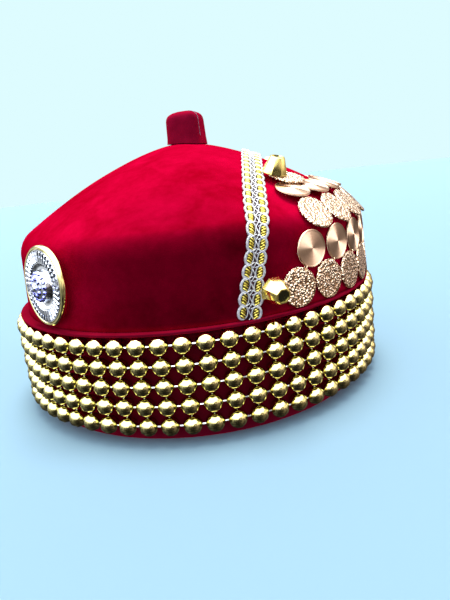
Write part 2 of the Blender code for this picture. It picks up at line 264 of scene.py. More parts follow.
def cords(
    name: str,
    paths: Iterable[Sequence[Vector]],
    radius: float,
    closed: bool,
    swell: Sequence[float] | None = None,
) -> bpy.types.Mesh:
    """Make round cords, each along its own path, as one mesh.

    Args:
        name: The mesh's name.
        paths: The points that each cord follows.
        radius: Half of a cord's thickness.
        closed: Whether each cord joins its own start.
        swell: The share of the thickness at each point of a path, where it varies.

    Returns:
        The mesh of all the cords.
    """
    curve = bpy.data.curves.new(name, "CURVE")
    curve.dimensions = "3D"
    curve.bevel_depth = radius
    curve.bevel_resolution = 1
    curve.use_fill_caps = True
    for path in paths:
        spline = curve.splines.new("POLY")
        spline.points.add(len(path) - 1)
        for index, (point, place) in enumerate(zip(spline.points, path)):
            point.co = (*place, 1.0)
            if swell:
                point.radius = swell[index]
        spline.use_cyclic_u = closed
    holder = bpy.data.objects.new(name, curve)
    bpy.context.scene.collection.objects.link(holder)
    bpy.context.view_layer.update()
    evaluated = holder.evaluated_get(bpy.context.evaluated_depsgraph_get())
    mesh = bpy.data.meshes.new_from_object(evaluated)
    bpy.data.objects.remove(holder)
    return mesh


@dataclass(frozen=True)
class Velvet:
    """Cotton velvet with a short dense pile.

    It is dark where the pile is looked into and paler where it is seen from the side, which is painted sheen,
    and patchy where it was stroked. The fibres of the pile are too fine to show, so they are drawn as tufts
    of half a millimetre.
    """

    name: str = "red_cotton_velvet"
    deep: str = "5C0010"
    deep_stroked: str = "82001C"
    # side and side_stroked are painted sheen: the colours the pile takes on towards grazing views
    side: str = "B4001E"
    side_stroked: str = "DE0438"
    sheen: str = "FF0A3C"
    patch: float = 24 * MM
    streak: float = 3.5 * MM
    tuft: float = 0.5 * MM
    tuft_depth: float = 0.2 * MM

    def material(self) -> bpy.types.Material:
        """Make the velvet's material.

        Returns:
            The material.
        """
        material, tree, shader = start_material(self.name)
        place = add_node(tree, "ShaderNodeTexCoord").outputs["Object"]
        patches = add_node(
            tree, "ShaderNodeTexNoise",
            {"Vector": place, "Scale": 1 / self.patch, "Detail": 4.0, "Roughness": 0.55, "Distortion": 0.6})
        streaks = add_node(
            tree, "ShaderNodeTexNoise",
            {"Vector": place, "Scale": 1 / self.streak, "Detail": 3.0, "Roughness": 0.6})
        tufts = add_node(
            tree, "ShaderNodeTexNoise",
            {"Vector": place, "Scale": 1 / self.tuft, "Detail": 2.0, "Roughness": 0.5})
        nap = add_node(
            tree, "ShaderNodeMath", {0: streaks.outputs["Fac"], 1: 0.35, 2: patches.outputs["Fac"]},
            operation="MULTIPLY_ADD")
        spread = add_node(
            tree, "ShaderNodeMapRange",
            {"Value": nap.outputs[0], "From Min": 0.45, "From Max": 0.9})
        into_pile = add_node(
            tree, "ShaderNodeMix",
            {MIX_FACTOR: spread.outputs[0], MIX_A: linear(self.deep), MIX_B: linear(self.deep_stroked)},
            data_type="RGBA")
        painted_sheen_colour = add_node(
            tree, "ShaderNodeMix",
            {MIX_FACTOR: spread.outputs[0], MIX_A: linear(self.side), MIX_B: linear(self.side_stroked)},
            data_type="RGBA")
        # towards grazing views the side colours are mixed in: painted sheen
        glance = add_node(tree, "ShaderNodeLayerWeight", {"Blend": 0.5})
        grazing = add_node(
            tree, "ShaderNodeMapRange",
            {"Value": glance.outputs["Facing"], "From Max": 0.62},
            interpolation_type="SMOOTHSTEP")
        colour = add_node(
            tree, "ShaderNodeMix",
            {MIX_FACTOR: grazing.outputs[0], MIX_A: into_pile.outputs[MIX_RESULT],
             MIX_B: painted_sheen_colour.outputs[MIX_RESULT]},
            data_type="RGBA")
        bump = add_node(
            tree, "ShaderNodeBump",
            {"Height": tufts.outputs["Fac"], "Distance": self.tuft_depth, "Strength": 0.5})
        set_inputs(tree, shader, {
            "Base Color": colour.outputs[MIX_RESULT],
            "Normal": bump.outputs["Normal"],
            "Roughness": 0.9,
            "Specular IOR Level": 0.0,
            "Sheen Weight": 0.06,
            "Sheen Roughness": 0.35,
            "Sheen Tint": linear(self.sheen),
        })
        return material


@dataclass(frozen=True)
class PlatedMetal:
    """Polished brass or zinc under a thin bright plating, with faint smears of handling."""

    name: str
    colour: str
    smear_colour: str
    roughness: float = 0.12
    smear: float = 3.0 * MM

    def material(self) -> bpy.types.Material:
        """Make the plating's material.

        Returns:
            The material.
        """
        material, tree, shader = start_material(self.name)
        place = add_node(tree, "ShaderNodeTexCoord").outputs["Object"]
        smears = add_node(
            tree, "ShaderNodeTexNoise",
            {"Vector": place, "Scale": 1 / self.smear, "Detail": 3.0, "Roughness": 0.6})
        colour = add_node(
            tree, "ShaderNodeMix",
            {MIX_FACTOR: smears.outputs["Fac"], MIX_A: linear(self.colour),
             MIX_B: linear(self.smear_colour)},
            data_type="RGBA")
        rough = add_node(
            tree, "ShaderNodeMapRange",
            {"Value": smears.outputs["Fac"], "From Min": 0.3, "From Max": 0.7,
             "To Min": self.roughness * 0.7, "To Max": self.roughness * 1.4})
        set_inputs(tree, shader, {
            "Base Color": colour.outputs[MIX_RESULT],
            "Roughness": rough.outputs[0],
            "Metallic": 1.0,
        })
        return material


@dataclass(frozen=True)
class HammeredPlate:
    """Champagne plated sheet brass, beaten all over with a small round punch."""

    name: str = "hammered_champagne_brass"
    colour: str = "F8E6D0"
    dent_painted_shade: str = "A98766"
    # colour of the dents' hollows, darker as painted shade
    dent: float = 1.15 * MM
    dent_depth: float = 0.5 * MM

    def material(self) -> bpy.types.Material:
        """Make the beaten plate's material.

        Returns:
            The material.
        """
        material, tree, shader = start_material(self.name)
        place = add_node(tree, "ShaderNodeTexCoord").outputs["Object"]
        warp = add_node(
            tree, "ShaderNodeTexNoise", {"Vector": place, "Scale": 0.6 / self.dent, "Detail": 1.0})
        shifted = add_node(
            tree, "ShaderNodeVectorMath", {0: warp.outputs["Color"], 1: (self.dent,) * 3, 2: place},
            operation="MULTIPLY_ADD")
        dents = add_node(
            tree, "ShaderNodeTexVoronoi", {"Vector": shifted.outputs[0], "Scale": 1 / self.dent},
            feature="F1")
        depth = add_node(
            tree, "ShaderNodeMapRange",
            {"Value": dents.outputs["Distance"], "From Min": 0.1, "From Max": 0.75})
        # the sunken parts take the darker colour: painted shade in the dents
        colour = add_node(
            tree, "ShaderNodeMix",
            {MIX_FACTOR: depth.outputs[0], MIX_A: linear(self.colour), MIX_B: linear(self.dent_painted_shade)},
            data_type="RGBA")
        bump = add_node(
            tree, "ShaderNodeBump",
            {"Height": depth.outputs[0], "Distance": self.dent_depth, "Strength": 1.0},
            invert=True)
        set_inputs(tree, shader, {
            "Base Color": colour.outputs[MIX_RESULT],
            "Normal": bump.outputs["Normal"],
            "Metallic": 1.0,
            "Roughness": 0.22,
        })
        return material


@dataclass(frozen=True)
class SpunPlate:
    """Rose gold plated brass, turned on a lathe, so that it draws the light out into two fans.

    The lathe's rings are too fine to show, so they are drawn about half a millimetre apart.
    """

    name: str = "spun_rose_brass"
    colour: str = "F6DEC4"
    ring_colour: str = "CFA585"
    ring: float = 0.45 * MM

    def material(self) -> bpy.types.Material:
        """Make the turned plate's material, which reads the turn along U and the radius in metres along V.

        Returns:
            The material.
        """
        material, tree, shader = start_material(self.name)
        chart = add_node(tree, "ShaderNodeUVMap", uv_map="turning").outputs["UV"]
        radius = add_node(tree, "ShaderNodeSeparateXYZ", {0: chart}).outputs["Y"]
        around = add_node(tree, "ShaderNodeCombineXYZ", {"X": radius}).outputs[0]
        rings = add_node(
            tree, "ShaderNodeTexNoise",
            {"Vector": around, "Scale": 1 / self.ring, "Detail": 3.0, "Roughness": 0.7})
        colour = add_node(
            tree, "ShaderNodeMix",
            {MIX_FACTOR: rings.outputs["Fac"], MIX_A: linear(self.colour), MIX_B: linear(self.ring_colour)},
            data_type="RGBA")
        tangent = add_node(tree, "ShaderNodeTangent", direction_type="UV_MAP", uv_map="turning")
        set_inputs(tree, shader, {
            "Base Color": colour.outputs[MIX_RESULT],
            "Tangent": tangent.outputs["Tangent"],
            "Metallic": 1.0,
            "Roughness": 0.48,
            "Anisotropic": 1.0,
            "Anisotropic Rotation": 0.25,
        })
        return material


@dataclass(frozen=True)
class Thread:
    """Twisted yarn of the braid: soft cotton, or cotton wrapped in metal foil.

    Its plies are half as wide as they are drawn here, and too fine to show.
    """

    name: str
    colour: str
    shade: str
    metallic: float
    roughness: float
    ply: float = 1.524 * MM
    ply_depth: float = 0.12 * MM

    def material(self) -> bpy.types.Material:
        """Make the yarn's material.

        Returns:
            The material.
        """
        material, tree, shader = start_material(self.name)
        place = add_node(tree, "ShaderNodeTexCoord").outputs["Object"]
        plies = add_node(
            tree, "ShaderNodeTexWave",
            {"Vector": place, "Scale": 1 / (BANDS_PER_METRE * self.ply), "Distortion": 2.5, "Detail": 2.0},
            wave_type="BANDS", bands_direction="DIAGONAL")
        colour = add_node(
            tree, "ShaderNodeMix",
            {MIX_FACTOR: plies.outputs["Fac"], MIX_A: linear(self.shade), MIX_B: linear(self.colour)},
            data_type="RGBA")
        bump = add_node(
            tree, "ShaderNodeBump",
            {"Height": plies.outputs["Fac"], "Distance": self.ply_depth, "Strength": 0.7})
        set_inputs(tree, shader, {
            "Base Color": colour.outputs[MIX_RESULT],
            "Normal": bump.outputs["Normal"],
            "Metallic": self.metallic,
            "Roughness": self.roughness,
        })
        return material


@dataclass(frozen=True)
class CutStone:
    """Foil-backed cut glass: each facet flashes its own way, some with a blue or violet cast."""

    name: str
    colour: str
    cast: str
    grain: float = 1.6 * MM

    def material(self) -> bpy.types.Material:
        """Make the stones' material.

        Returns:
            The material.
        """
        material, tree, shader = start_material(self.name)
        place = add_node(tree, "ShaderNodeTexCoord").outputs["Object"]
        casts = add_node(
            tree, "ShaderNodeTexVoronoi", {"Vector": place, "Scale": 1 / self.grain}, feature="F1")
        share = add_node(tree, "ShaderNodeSeparateColor", {0: casts.outputs["Color"]}).outputs[0]
        colour = add_node(
            tree, "ShaderNodeMix",
            {MIX_FACTOR: share, MIX_A: linear(self.colour), MIX_B: linear(self.cast)},
            data_type="RGBA")
        set_inputs(tree, shader, {
            "Base Color": colour.outputs[MIX_RESULT],
            "Metallic": 0.9,
            "Roughness": 0.06,
            "Coat Weight": 1.0,
            "Coat Roughness": 0.03,
        })
        return material


@dataclass(frozen=True)
class Station:
    """A place on the crown's outer line.

    Its lean is the angle of the outward normal above the level, and its distance runs up along the line.
    """

    radius: float
    height: float
    lean: float
    distance: float

    def towards(self, other: "Station", share: float) -> "Station":
        """Find a place between this one and another.

        Args:
            other: The other station.
            share: How far towards it, from 0 to 1.

        Returns:
            The station in between.
        """
        return Station(
            self.radius + (other.radius - self.radius) * share,
            self.height + (other.height - self.height) * share,
            self.lean + (other.lean - self.lean) * share,
            self.distance + (other.distance - self.distance) * share,
        )


@dataclass(frozen=True)
class CrownShape:
    """The crown's outer surface: a wall, a shoulder and a low dome, turned round one upright axis."""

    foot_radius: float = 98.2 * MM
    taper: float = 1.8 * MM
    forward: float = 1.5 * MM
    foot: float = 53.46 * MM
    wall_height: float = 29.4 * MM
    shoulder_radius: float = 15.0 * MM
    dome_rise: float = 38.4 * MM
    fullness: float = 1.56
    trials: int = 8

    def dome_edge(self) -> tuple[float, float]:
        """Find where the dome meets the shoulder with no kink, by a few rounds of trial.

        Returns:
            The radius there and the slope of the dome.
        """
        top_radius = self.foot_radius - self.taper
        radius = top_radius
        slope = 0.0
        for _ in range(self.trials):
            slope = math.atan(self.fullness * self.dome_rise / radius)
            radius = top_radius - self.shoulder_radius * (1 - math.sin(slope))
        return radius, slope

    def stations(self, wall_steps: int, shoulder_steps: int, dome_steps: int) -> list[Station]:
        """Follow the outer line from the foot to the apex.

        Args:
            wall_steps: Steps up the wall.
            shoulder_steps: Steps round the shoulder.
            dome_steps: Steps over the dome.

        Returns:
            The stations in order.
        """
        edge_radius, edge_slope = self.dome_edge()
        wall_lean = math.atan2(self.taper, self.wall_height)
        arc_radius = self.foot_radius - self.taper - self.shoulder_radius
        arc_height = self.foot + self.wall_height
        edge_height = arc_height + self.shoulder_radius * math.cos(edge_slope)
        places = []
        for step in range(wall_steps):
            share = step / wall_steps
            radius = self.foot_radius - self.taper * share
            places.append((radius, self.foot + self.wall_height * share, wall_lean))
        for step in range(shoulder_steps):
            lean = (math.pi / 2 - edge_slope) * step / shoulder_steps
            radius = arc_radius + self.shoulder_radius * math.cos(lean)
            places.append((radius, arc_height + self.shoulder_radius * math.sin(lean), lean))
        for step in range(dome_steps + 1):
            share = 1 - step / dome_steps
            height = edge_height + self.dome_rise * (1 - share ** self.fullness)
            slope = math.atan(math.tan(edge_slope) * share ** (self.fullness - 1))
            places.append((edge_radius * share, height, math.pi / 2 - slope))
        found: list[Station] = []
        distance = 0.0
        for radius, height, lean in places:
            if found:
                distance += math.hypot(radius - found[-1].radius, height - found[-1].height)
            found.append(Station(radius, height, lean, distance))
        return found

    def where(self, value: float, column: str) -> Station:
        """Find the station where a column passes a value.

        Args:
            value: The value to reach.
            column: The name of the station's field.

        Returns:
            The station between its two neighbours.
        """
        fine = self.stations(wall_steps=4, shoulder_steps=16, dome_steps=60)
        for before, after in zip(fine, fine[1:]):
            low, high = getattr(before, column), getattr(after, column)
            if min(low, high) <= value <= max(low, high) and high != low:
                return before.towards(after, (value - low) / (high - low))
        return fine[-1]

    def place(self, station: Station, azimuth: float, lift: float) -> Matrix:
        """Make a frame on the surface: X runs round the crown, Y up its slope, Z out of it.

        Args:
            station: How far up the crown.
            azimuth: How far round it, from the front.
            lift: The distance off the surface.

        Returns:
            The frame.
        """
        outward = Vector((math.cos(azimuth), math.sin(azimuth), 0.0))
        along = Vector((-math.sin(azimuth), math.cos(azimuth), 0.0))
        normal = outward * math.cos(station.lean) + Vector((0.0, 0.0, math.sin(station.lean)))
        origin = outward * station.radius + Vector((self.forward, 0.0, station.height)) + normal * lift
        return frame_of(along, normal.cross(along), normal, origin)


@dataclass
class VelvetCap:
    """The cloth of the hat: the crown, the cuff behind the beads and the stuffed stub on top."""

    shape: CrownShape
    cloth: bpy.types.Material
    # the cuff's velvet is a copy that is darker towards grazing views than the crown's: painted shade on the
    # hem
    cuff_painted_shading: bpy.types.Material
    # the stub's velvet is a copy that is lighter where faced and darker towards grazing views than the
    # crown's: painted light on its front, painted shade on its edges
    stuffed: bpy.types.Material
    thread: bpy.types.Material
    crown_thickness: float = 2.0 * MM
    crown_steps: int = 160
    slack: float = 0.5 * MM
    slack_width: float = 34 * MM
    cuff_radius: float = 94.8 * MM
    cuff_thickness: float = 2.2 * MM
    cuff_softening: float = 0.6 * MM
    cuff_steps: int = 160
    hem_underside: float = 51.76 * MM
    hem_thickness: float = 1.4 * MM
    hem_overhang: float = 2.8 * MM
    hem_roll_steps: int = 8
    stalk_length: float = 21.0 * MM
    stalk_width: float = 18.0 * MM
    stalk_height: float = 16.4 * MM
    stalk_forward: float = 4.0 * MM
    stalk_turn: float = math.radians(-14)
    stalk_corner: float = 4.0
    stalk_sides: int = 64
    # share of the stub's height, and its size there as a share of its length and width
    stalk_sections: tuple[tuple[float, float], ...] = (
        (0.0, 1.02), (0.12, 0.985), (0.45, 0.965), (0.68, 0.95), (0.77, 0.92), (0.84, 0.86),
        (0.90, 0.75), (0.95, 0.58), (0.985, 0.34), (1.0, 0.08),
    )
    stalk_foot: float = 0.1 * MM
    seam_reach: float = 0.97
    seam_radius: float = 0.17 * MM

    def build(self) -> None:
        """Build the three pieces of cloth."""
        self.build_crown()
        self.build_cuff()
        self.build_stalk()

    def build_crown(self) -> None:
        """Turn the crown's sheet, slacken it a little and give it its thickness inwards."""
        stations = self.shape.stations(wall_steps=10, shoulder_steps=14, dome_steps=40)
        mesh = turned("crown_velvet", [(s.radius, s.height) for s in stations], self.crown_steps)
        mesh.transform(Matrix.Translation((self.shape.forward, 0.0, 0.0)))
        for vertex, normal in zip(mesh.vertices, [v.normal.copy() for v in mesh.vertices]):
            droop = 0.5 + 0.5 * noise.noise(vertex.co / self.slack_width)
            vertex.co -= normal * self.slack * droop
        crown = finish_piece("crown_velvet", mesh, [self.cloth], stands_for=["crown"])
        wall = crown.modifiers.new("cloth wall", "SOLIDIFY")
        wall.thickness = self.crown_thickness
        wall.offset = -1
        wall.use_even_offset = True

    def build_cuff(self) -> None:
        """Turn the cuff with its rolled hem."""
        inner = self.cuff_radius - self.cuff_thickness
        outer = self.shape.foot_radius + self.hem_overhang
        roll = self.hem_thickness / 2
        middle = self.hem_underside + roll
        soft = self.cuff_softening
        rolled = []
        for step in range(self.hem_roll_steps + 1):
            turn = math.pi * (step / self.hem_roll_steps - 0.5)
            rolled.append((outer - roll + roll * math.cos(turn), middle + roll * math.sin(turn)))
        profile = [
            (inner, soft),
            (inner + soft, 0.0),
            (self.cuff_radius - soft, 0.0),
            (self.cuff_radius, soft),
            (self.cuff_radius, self.hem_underside),
            *rolled,
            (inner, self.hem_underside + self.hem_thickness),
            (inner, soft),
        ]
        mesh = turned("cuff_velvet", profile, self.cuff_steps)
        finish_piece("cuff_velvet", mesh, [self.cuff_painted_shading], stands_for=["cuff"])

    def build_stalk(self) -> None:
        """Raise the stub from its rounded square outline, with its foot on the dome."""
        apex = self.shape.stations(wall_steps=1, shoulder_steps=1, dome_steps=1)[-1].height
        turn = Matrix.Rotation(self.stalk_turn, 4, "Z")
        off_centre = Matrix.Translation((self.stalk_forward, 0.0, 0.0)) @ turn
        bm = bmesh.new()
        ring = bmesh.ops.create_circle(bm, cap_ends=True, radius=0.5, segments=self.stalk_sides)["verts"]
        for vertex in ring:
            reach = (abs(2 * vertex.co.x) ** self.stalk_corner
                     + abs(2 * vertex.co.y) ** self.stalk_corner) ** (-1 / self.stalk_corner)
            x, y = vertex.co.x * self.stalk_length, vertex.co.y * self.stalk_width
            vertex.co = Vector((x, y, 0.0)) * reach
        face = bm.faces[:][0]
        for (low, low_size), (high, high_size) in zip(self.stalk_sections, self.stalk_sections[1:]):
            face = bmesh.ops.extrude_discrete_faces(bm, faces=[face])["faces"][0]
            bmesh.ops.scale(bm, vec=(high_size / low_size,) * 2 + (1.0,), verts=face.verts)
            bmesh.ops.translate(bm, vec=(0.0, 0.0, (high - low) * self.stalk_height), verts=face.verts)
        bmesh.ops.poke(bm, faces=[face])
        bmesh.ops.remove_doubles(bm, verts=bm.verts, dist=DOUBLE)
        bmesh.ops.transform(bm, matrix=off_centre, verts=bm.verts)
        for vertex in bm.verts:
            if vertex.co.z < self.stalk_foot:
                vertex.co.z = self.shape.where(vertex.co.xy.length, "radius").height - apex
        place = Matrix.Translation((self.shape.forward, 0.0, apex + CLEARANCE))
        bmesh.ops.transform(bm, matrix=place, verts=bm.verts)
        mesh = closed_mesh(bm, "stalk_velvet")
        # the stub takes the velvet copy with painted light and painted shade
        stalk = finish_piece("stalk_velvet", mesh, [self.stuffed], stands_for=["stalk"])
        self.build_seam(place @ off_centre)

    def build_seam(self, place: Matrix) -> None:
        """Lay the stub's seam up its front right corner.

        Args:
            place: Frame of the stub's foot.
        """
        along = self.seam_reach
        aside = (1 - along ** self.stalk_corner) ** (1 / self.stalk_corner)
        path = [
            place @ Vector((
                along * size * self.stalk_length / 2,
                -aside * size * self.stalk_width / 2,
                height * self.stalk_height))
            for height, size in self.stalk_sections[1:-1]]
        mesh = cords("stalk_seam", [path], self.seam_radius, closed=False)
        finish_piece("stalk_seam", mesh, [self.thread], crease=ROUND)


@dataclass
class BeadCuff:
    """Five strings of gold plated beads, joined along and across the strings by short links."""

    gold: bpy.types.Material
    silver: bpy.types.Material
    bead_diameter: float = 8.8 * MM
    # a ball of flat faces looks smaller than a round one, so it is made a little larger
    bead_swell: float = 1.02
    link_length: float = 1.3 * MM
    link_radius: float = 0.62 * MM
    tie_radius: float = 0.372 * MM
    sunk_in_beads: float = 0.8 * MM
    ring_radius: float = 99.7 * MM
    rows: int = 5
    row_step: float = 9.44 * MM
    lowest: float = 9.3 * MM
    count: int = 62
    phase: float = math.radians(8.3)

    def places(self, row: int, turn: float = 0.0) -> list[Matrix]:
        """Frames along a string, with Z along the string and X outwards.

        Args:
            row: The string's number from the top, from 0.
            turn: How far on from each bead, in bead steps.

        Returns:
            One frame for each bead.
        """
        height = self.lowest + (self.rows - 1 - row) * self.row_step
        found = []
        for bead in range(self.count):
            azimuth = -math.pi / 2 + self.phase + (bead + turn) * math.tau / self.count
            lie = Matrix.Rotation(azimuth, 4, "Z") @ Matrix.Translation((self.ring_radius, 0.0, height))
            found.append(lie @ Matrix.Rotation(math.pi / 2, 4, "X"))
        return found

    def build(self) -> None:
        """Build the strings and their links."""
        bm = bmesh.new()
        bmesh.ops.create_uvsphere(
            bm, u_segments=12, v_segments=7, radius=self.bead_diameter / 2 * self.bead_swell)
        bead = closed_mesh(bm, "bead")
        link = self.rod("link", 8, self.link_radius, self.link_length)
        tie = self.rod("tie", 6, self.tie_radius, self.row_step - self.bead_diameter)
        half_down = Matrix.Translation((0.0, self.row_step / 2, 0.0)) @ Matrix.Rotation(math.pi / 2, 4, "X")
        links = bmesh.new()
        for row in range(self.rows):
            string = bmesh.new()
            stamp(string, bead, self.places(row))
            mesh = as_mesh(string, f"beads_{row + 1}")
            finish_piece(
                mesh.name, mesh, [self.gold], stands_for=[f"bead_row_{row + 1}"], crease=ROUND)
            stamp(links, link, self.places(row, 0.5))
            if row:
                stamp(links, tie, [place @ half_down for place in self.places(row)])
        finish_piece("bead_links", as_mesh(links, "bead_links"), [self.silver])

    def rod(self, name: str, sides: int, radius: float, bare_length: float) -> bpy.types.Mesh:
        """Make a short rod along Z whose ends are sunk in two beads.

        Args:
            name: The mesh's name.
            sides: How many sides it has.
            radius: Half of its thickness.
            bare_length: The length that shows between the beads.

        Returns:
            The rod's mesh.
        """
        bm = bmesh.new()
        bmesh.ops.create_cone(
            bm, cap_ends=True, segments=sides, radius1=radius, radius2=radius,
            depth=bare_length + self.sunk_in_beads)
        return closed_mesh(bm, name)


@dataclass
class BraidLine:
    """The line over the crown that the braid follows, with a frame at any distance along it."""

    # points from hem to hem, with the outward normal at each
    route: list[tuple[Vector, Vector]]
    # how far from each end the braid bends over the shoulder, and draws together
    bend: float
    bunched_length: float = 13 * MM
    bunched_share: float = 0.13
    bunched_forward: float = 0.85 * MM
    marks: list[float] = field(init=False)

    def __post_init__(self) -> None:
        """Measure how far along the line each point is."""
        self.marks = [0.0]
        for (before, _), (after, _) in zip(self.route, self.route[1:]):
            self.marks.append(self.marks[-1] + (after - before).length)

    @property
    def length(self) -> float:
        """The line's whole length."""
        return self.marks[-1]

    def frame(self, distance: float) -> Matrix:
        """Find the frame at a distance: X across the line, Y along it, Z out of the crown.

        Args:
            distance: How far along the line.

        Returns:
            The frame.
        """
        distance = min(max(distance, 0.0), self.length)
        index = 0
        while index < len(self.marks) - 2 and self.marks[index + 1] < distance:
            index += 1
        share = (distance - self.marks[index]) / (self.marks[index + 1] - self.marks[index])
        (start, start_normal), (end, end_normal) = self.route[index], self.route[index + 1]
        normal = start_normal.lerp(end_normal, share).normalized()
        across = (end - start).cross(normal).normalized()
        return frame_of(across, normal.cross(across), normal, start.lerp(end, share))

    def point(self, distance: float, across: float, lift: float) -> Vector:
        """Find a point of the braid, which is drawn together and forward where it bends.

        Args:
            distance: How far along the line.
            across: How far to one side of it, where the braid lies flat.
            lift: How far off the crown.

        Returns:
            The point.
        """
        from_end = min(distance, self.length - distance)
        bunched = math.exp(-((from_end - self.bend) / self.bunched_length) ** 2)
        drawn = across * (1 - self.bunched_share * bunched) + self.bunched_forward * bunched
        return self.frame(distance) @ Vector((drawn, 0.0, lift))


@dataclass
class LoopBraid:
    """The braid over the crown: two columns of corded loops with gold centres, laced together with thread."""

    shape: CrownShape
    white: bpy.types.Material
    silver: bpy.types.Material
    gold: bpy.types.Material
    net: bpy.types.Material
    width: float = 11.4 * MM
    foot_forward: float = 31.8 * MM
    top_forward: float = 39.2 * MM
    pitch: float = 5.8 * MM
    column: float = 3.0 * MM
    loop_across: float = 2.12 * MM
    loop_along: float = 3.05 * MM
    loop_lift: float = 0.75 * MM
    loop_sway: float = 0.3 * MM
    loop_points: int = 14
    cord_radius: float = 0.6 * MM
    # share of the cord's thickness half way across a loop, and how much thicker it gets at the braid's edge
    cord_swell: tuple[float, float] = (0.75, 0.3)
    centre_turns: int = 4
    centre_step: float = 1.2 * MM
    centre_lift: float = 0.8 * MM
    centre_lean: float = math.radians(34)
    centre_radii: tuple[float, float, float] = (1.6 * MM, 0.52 * MM, 0.62 * MM)
    thread_radius: float = 0.26 * MM
    # millimetres along, aside and up of the points of a thread that crosses between two loops
    crossing: tuple[tuple[float, float, float], ...] = (
        (1.1, 0.32, 0.75), (0.5, 1.55, 1.25), (-0.4, 3.05, 1.3), (-0.9, 4.4, 0.95),
    )
    # half pitches along and shares aside of the points of the zigzag down the middle
    zigzag: tuple[tuple[float, float], ...] = (
        (-1.0, 0.0), (-0.5, 1.0), (0.0, 0.0), (0.5, -1.0), (1.0, 0.0),
    )
    zigzag_aside: float = 0.85 * MM
    zigzag_lift: float = 0.8 * MM
    bend_up: float = 3.0 * MM
    route_steps: int = 40
    net_steps: int = 120
    net_inset: float = 0.6 * MM
    net_lift: float = 0.3 * MM
    net_thickness: float = 0.3 * MM

    def route(self) -> list[tuple[Vector, Vector]]:
        """Follow the braid's middle from hem to hem.

        Returns:
            A point on the crown and the outward normal there, for each step.
        """
        stations = self.shape.stations(wall_steps=16, shoulder_steps=14, dome_steps=1)[:-1]
        dome_foot = stations.pop().height
        half = []
        for station in stations:
            climb = (station.height - self.shape.foot) / (dome_foot - self.shape.foot)
            forward = self.foot_forward + (self.top_forward - self.foot_forward) * climb
            half.append((station, -math.acos(forward / station.radius)))
        first_aside = math.sqrt(stations[-1].radius ** 2 - self.top_forward ** 2)
        for step in range(1, self.route_steps + 1):
            aside = first_aside * (1 - step / self.route_steps)
            station = self.shape.where(math.hypot(self.top_forward, aside), "radius")
            half.append((station, -math.atan2(aside, self.top_forward)))
        whole = half + [(station, -azimuth) for station, azimuth in reversed(half[:-1])]
        found = []
        for station, azimuth in whole:
            lie = self.shape.place(station, azimuth, CLEARANCE)
            found.append((lie.translation, lie.to_3x3() @ UP))
        return found

    def build(self) -> None:
        """Build the loops, their gold centres, the threads between them and the net under them."""
        line = BraidLine(self.route(), self.shape.wall_height + self.bend_up)
        rows = int(line.length / self.pitch)
        middles = [(row + 0.5) * line.length / rows for row in range(rows)]
        self.build_loops(line, middles)
        self.build_centres(line, middles)
        self.build_threads(line, middles)
        self.build_net(line)

    def build_loops(self, line: BraidLine, middles: Sequence[float]) -> None:
        """Lay the corded loops, thick on the braid's edges and thin towards its middle.

        Args:
            line: The line that the braid follows.
            middles: How far along each loop's middle is.
        """
        turns = [math.tau * step / self.loop_points for step in range(self.loop_points)]
        loops = []
        for side in (-1, 1):
            for middle in middles:
                loops.append([
                    line.point(
                        middle + self.loop_along * math.sin(turn),
                        side * (self.column + self.loop_across * math.cos(turn)),
                        self.loop_lift + self.loop_sway * math.sin(turn))
                    for turn in turns])
        usual, change = self.cord_swell
        swell = [usual + change * math.cos(turn) for turn in turns]
        mesh = cords("braid_loops", loops, self.cord_radius, closed=True, swell=swell)
        finish_piece(
            "braid_loops", mesh, [self.white], stands_for=["braid"], crease=ROUND)

    def build_centres(self, line: BraidLine, middles: Sequence[float]) -> None:
        """Fill each loop with a few leaning turns of gold yarn.

        Args:
            line: The line that the braid follows.
            middles: How far along each loop's middle is.
        """
        bm = bmesh.new()
        bmesh.ops.create_uvsphere(bm, u_segments=8, v_segments=5, radius=1.0)
        bmesh.ops.scale(bm, vec=self.centre_radii, verts=bm.verts)
        turn = closed_mesh(bm, "gold_turn")
        spots = []
        for side in (-1, 1):
            lean = Matrix.Rotation(side * self.centre_lean, 4, "Z")
            for middle in middles:
                for number in range(self.centre_turns):
                    along = middle + (number - (self.centre_turns - 1) / 2) * self.centre_step
                    spot = line.frame(along)
                    shift = spot.inverted() @ line.point(along, side * self.column, self.centre_lift)
                    spots.append(spot @ Matrix.Translation(shift) @ lean)
        bm = bmesh.new()
        stamp(bm, turn, spots)
        mesh = as_mesh(bm, "braid_centres")
        finish_piece("braid_centres", mesh, [self.gold], crease=ROUND)

    def build_threads(self, line: BraidLine, middles: Sequence[float]) -> None:
        """Lay the silver threads that cross between the loops and zigzag down the braid's middle.

        Args:
            line: The line that the braid follows.
            middles: How far along each loop's middle is.
        """
        half = self.pitch / 2
        threads = []
        for middle in middles:
            for side in (-1, 1):
                for reach in (-1, 1):
                    threads.append([
                        line.point(middle + half + reach * along * MM, side * aside * MM, lift * MM)
                        for along, aside, lift in self.crossing])
            threads.append([
                line.point(middle + along * half, self.zigzag_aside * aside, self.zigzag_lift)
                for along, aside in self.zigzag])
        mesh = cords("braid_threads", threads, self.thread_radius, closed=False)
        finish_piece("braid_threads", mesh, [self.silver], crease=ROUND)

    def build_net(self, line: BraidLine) -> None:
        """Lay the thin net that the cords are sewn to.

        Args:
            line: The line that the braid follows.
        """
        bm = bmesh.new()
        half = self.width / 2 - self.net_inset
        edge = bm.edges.new([bm.verts.new(line.point(0.0, x, self.net_lift)) for x in (-half, half)])
        for step in range(1, self.net_steps + 1):
            grown = bmesh.ops.extrude_edge_only(bm, edges=[edge])["geom"]
            edge = next(item for item in grown if isinstance(item, bmesh.types.BMEdge))
            for vertex, x in zip(sorted(edge.verts, key=lambda v: v.index), (-half, half)):
                vertex.co = line.point(line.length * step / self.net_steps, x, self.net_lift)
        mesh = closed_mesh(bm, "braid_net")
        net = finish_piece("braid_net", mesh, [self.net])
        wall = net.modifiers.new("net thickness", "SOLIDIFY")
        wall.thickness = self.net_thickness
        wall.offset = 0


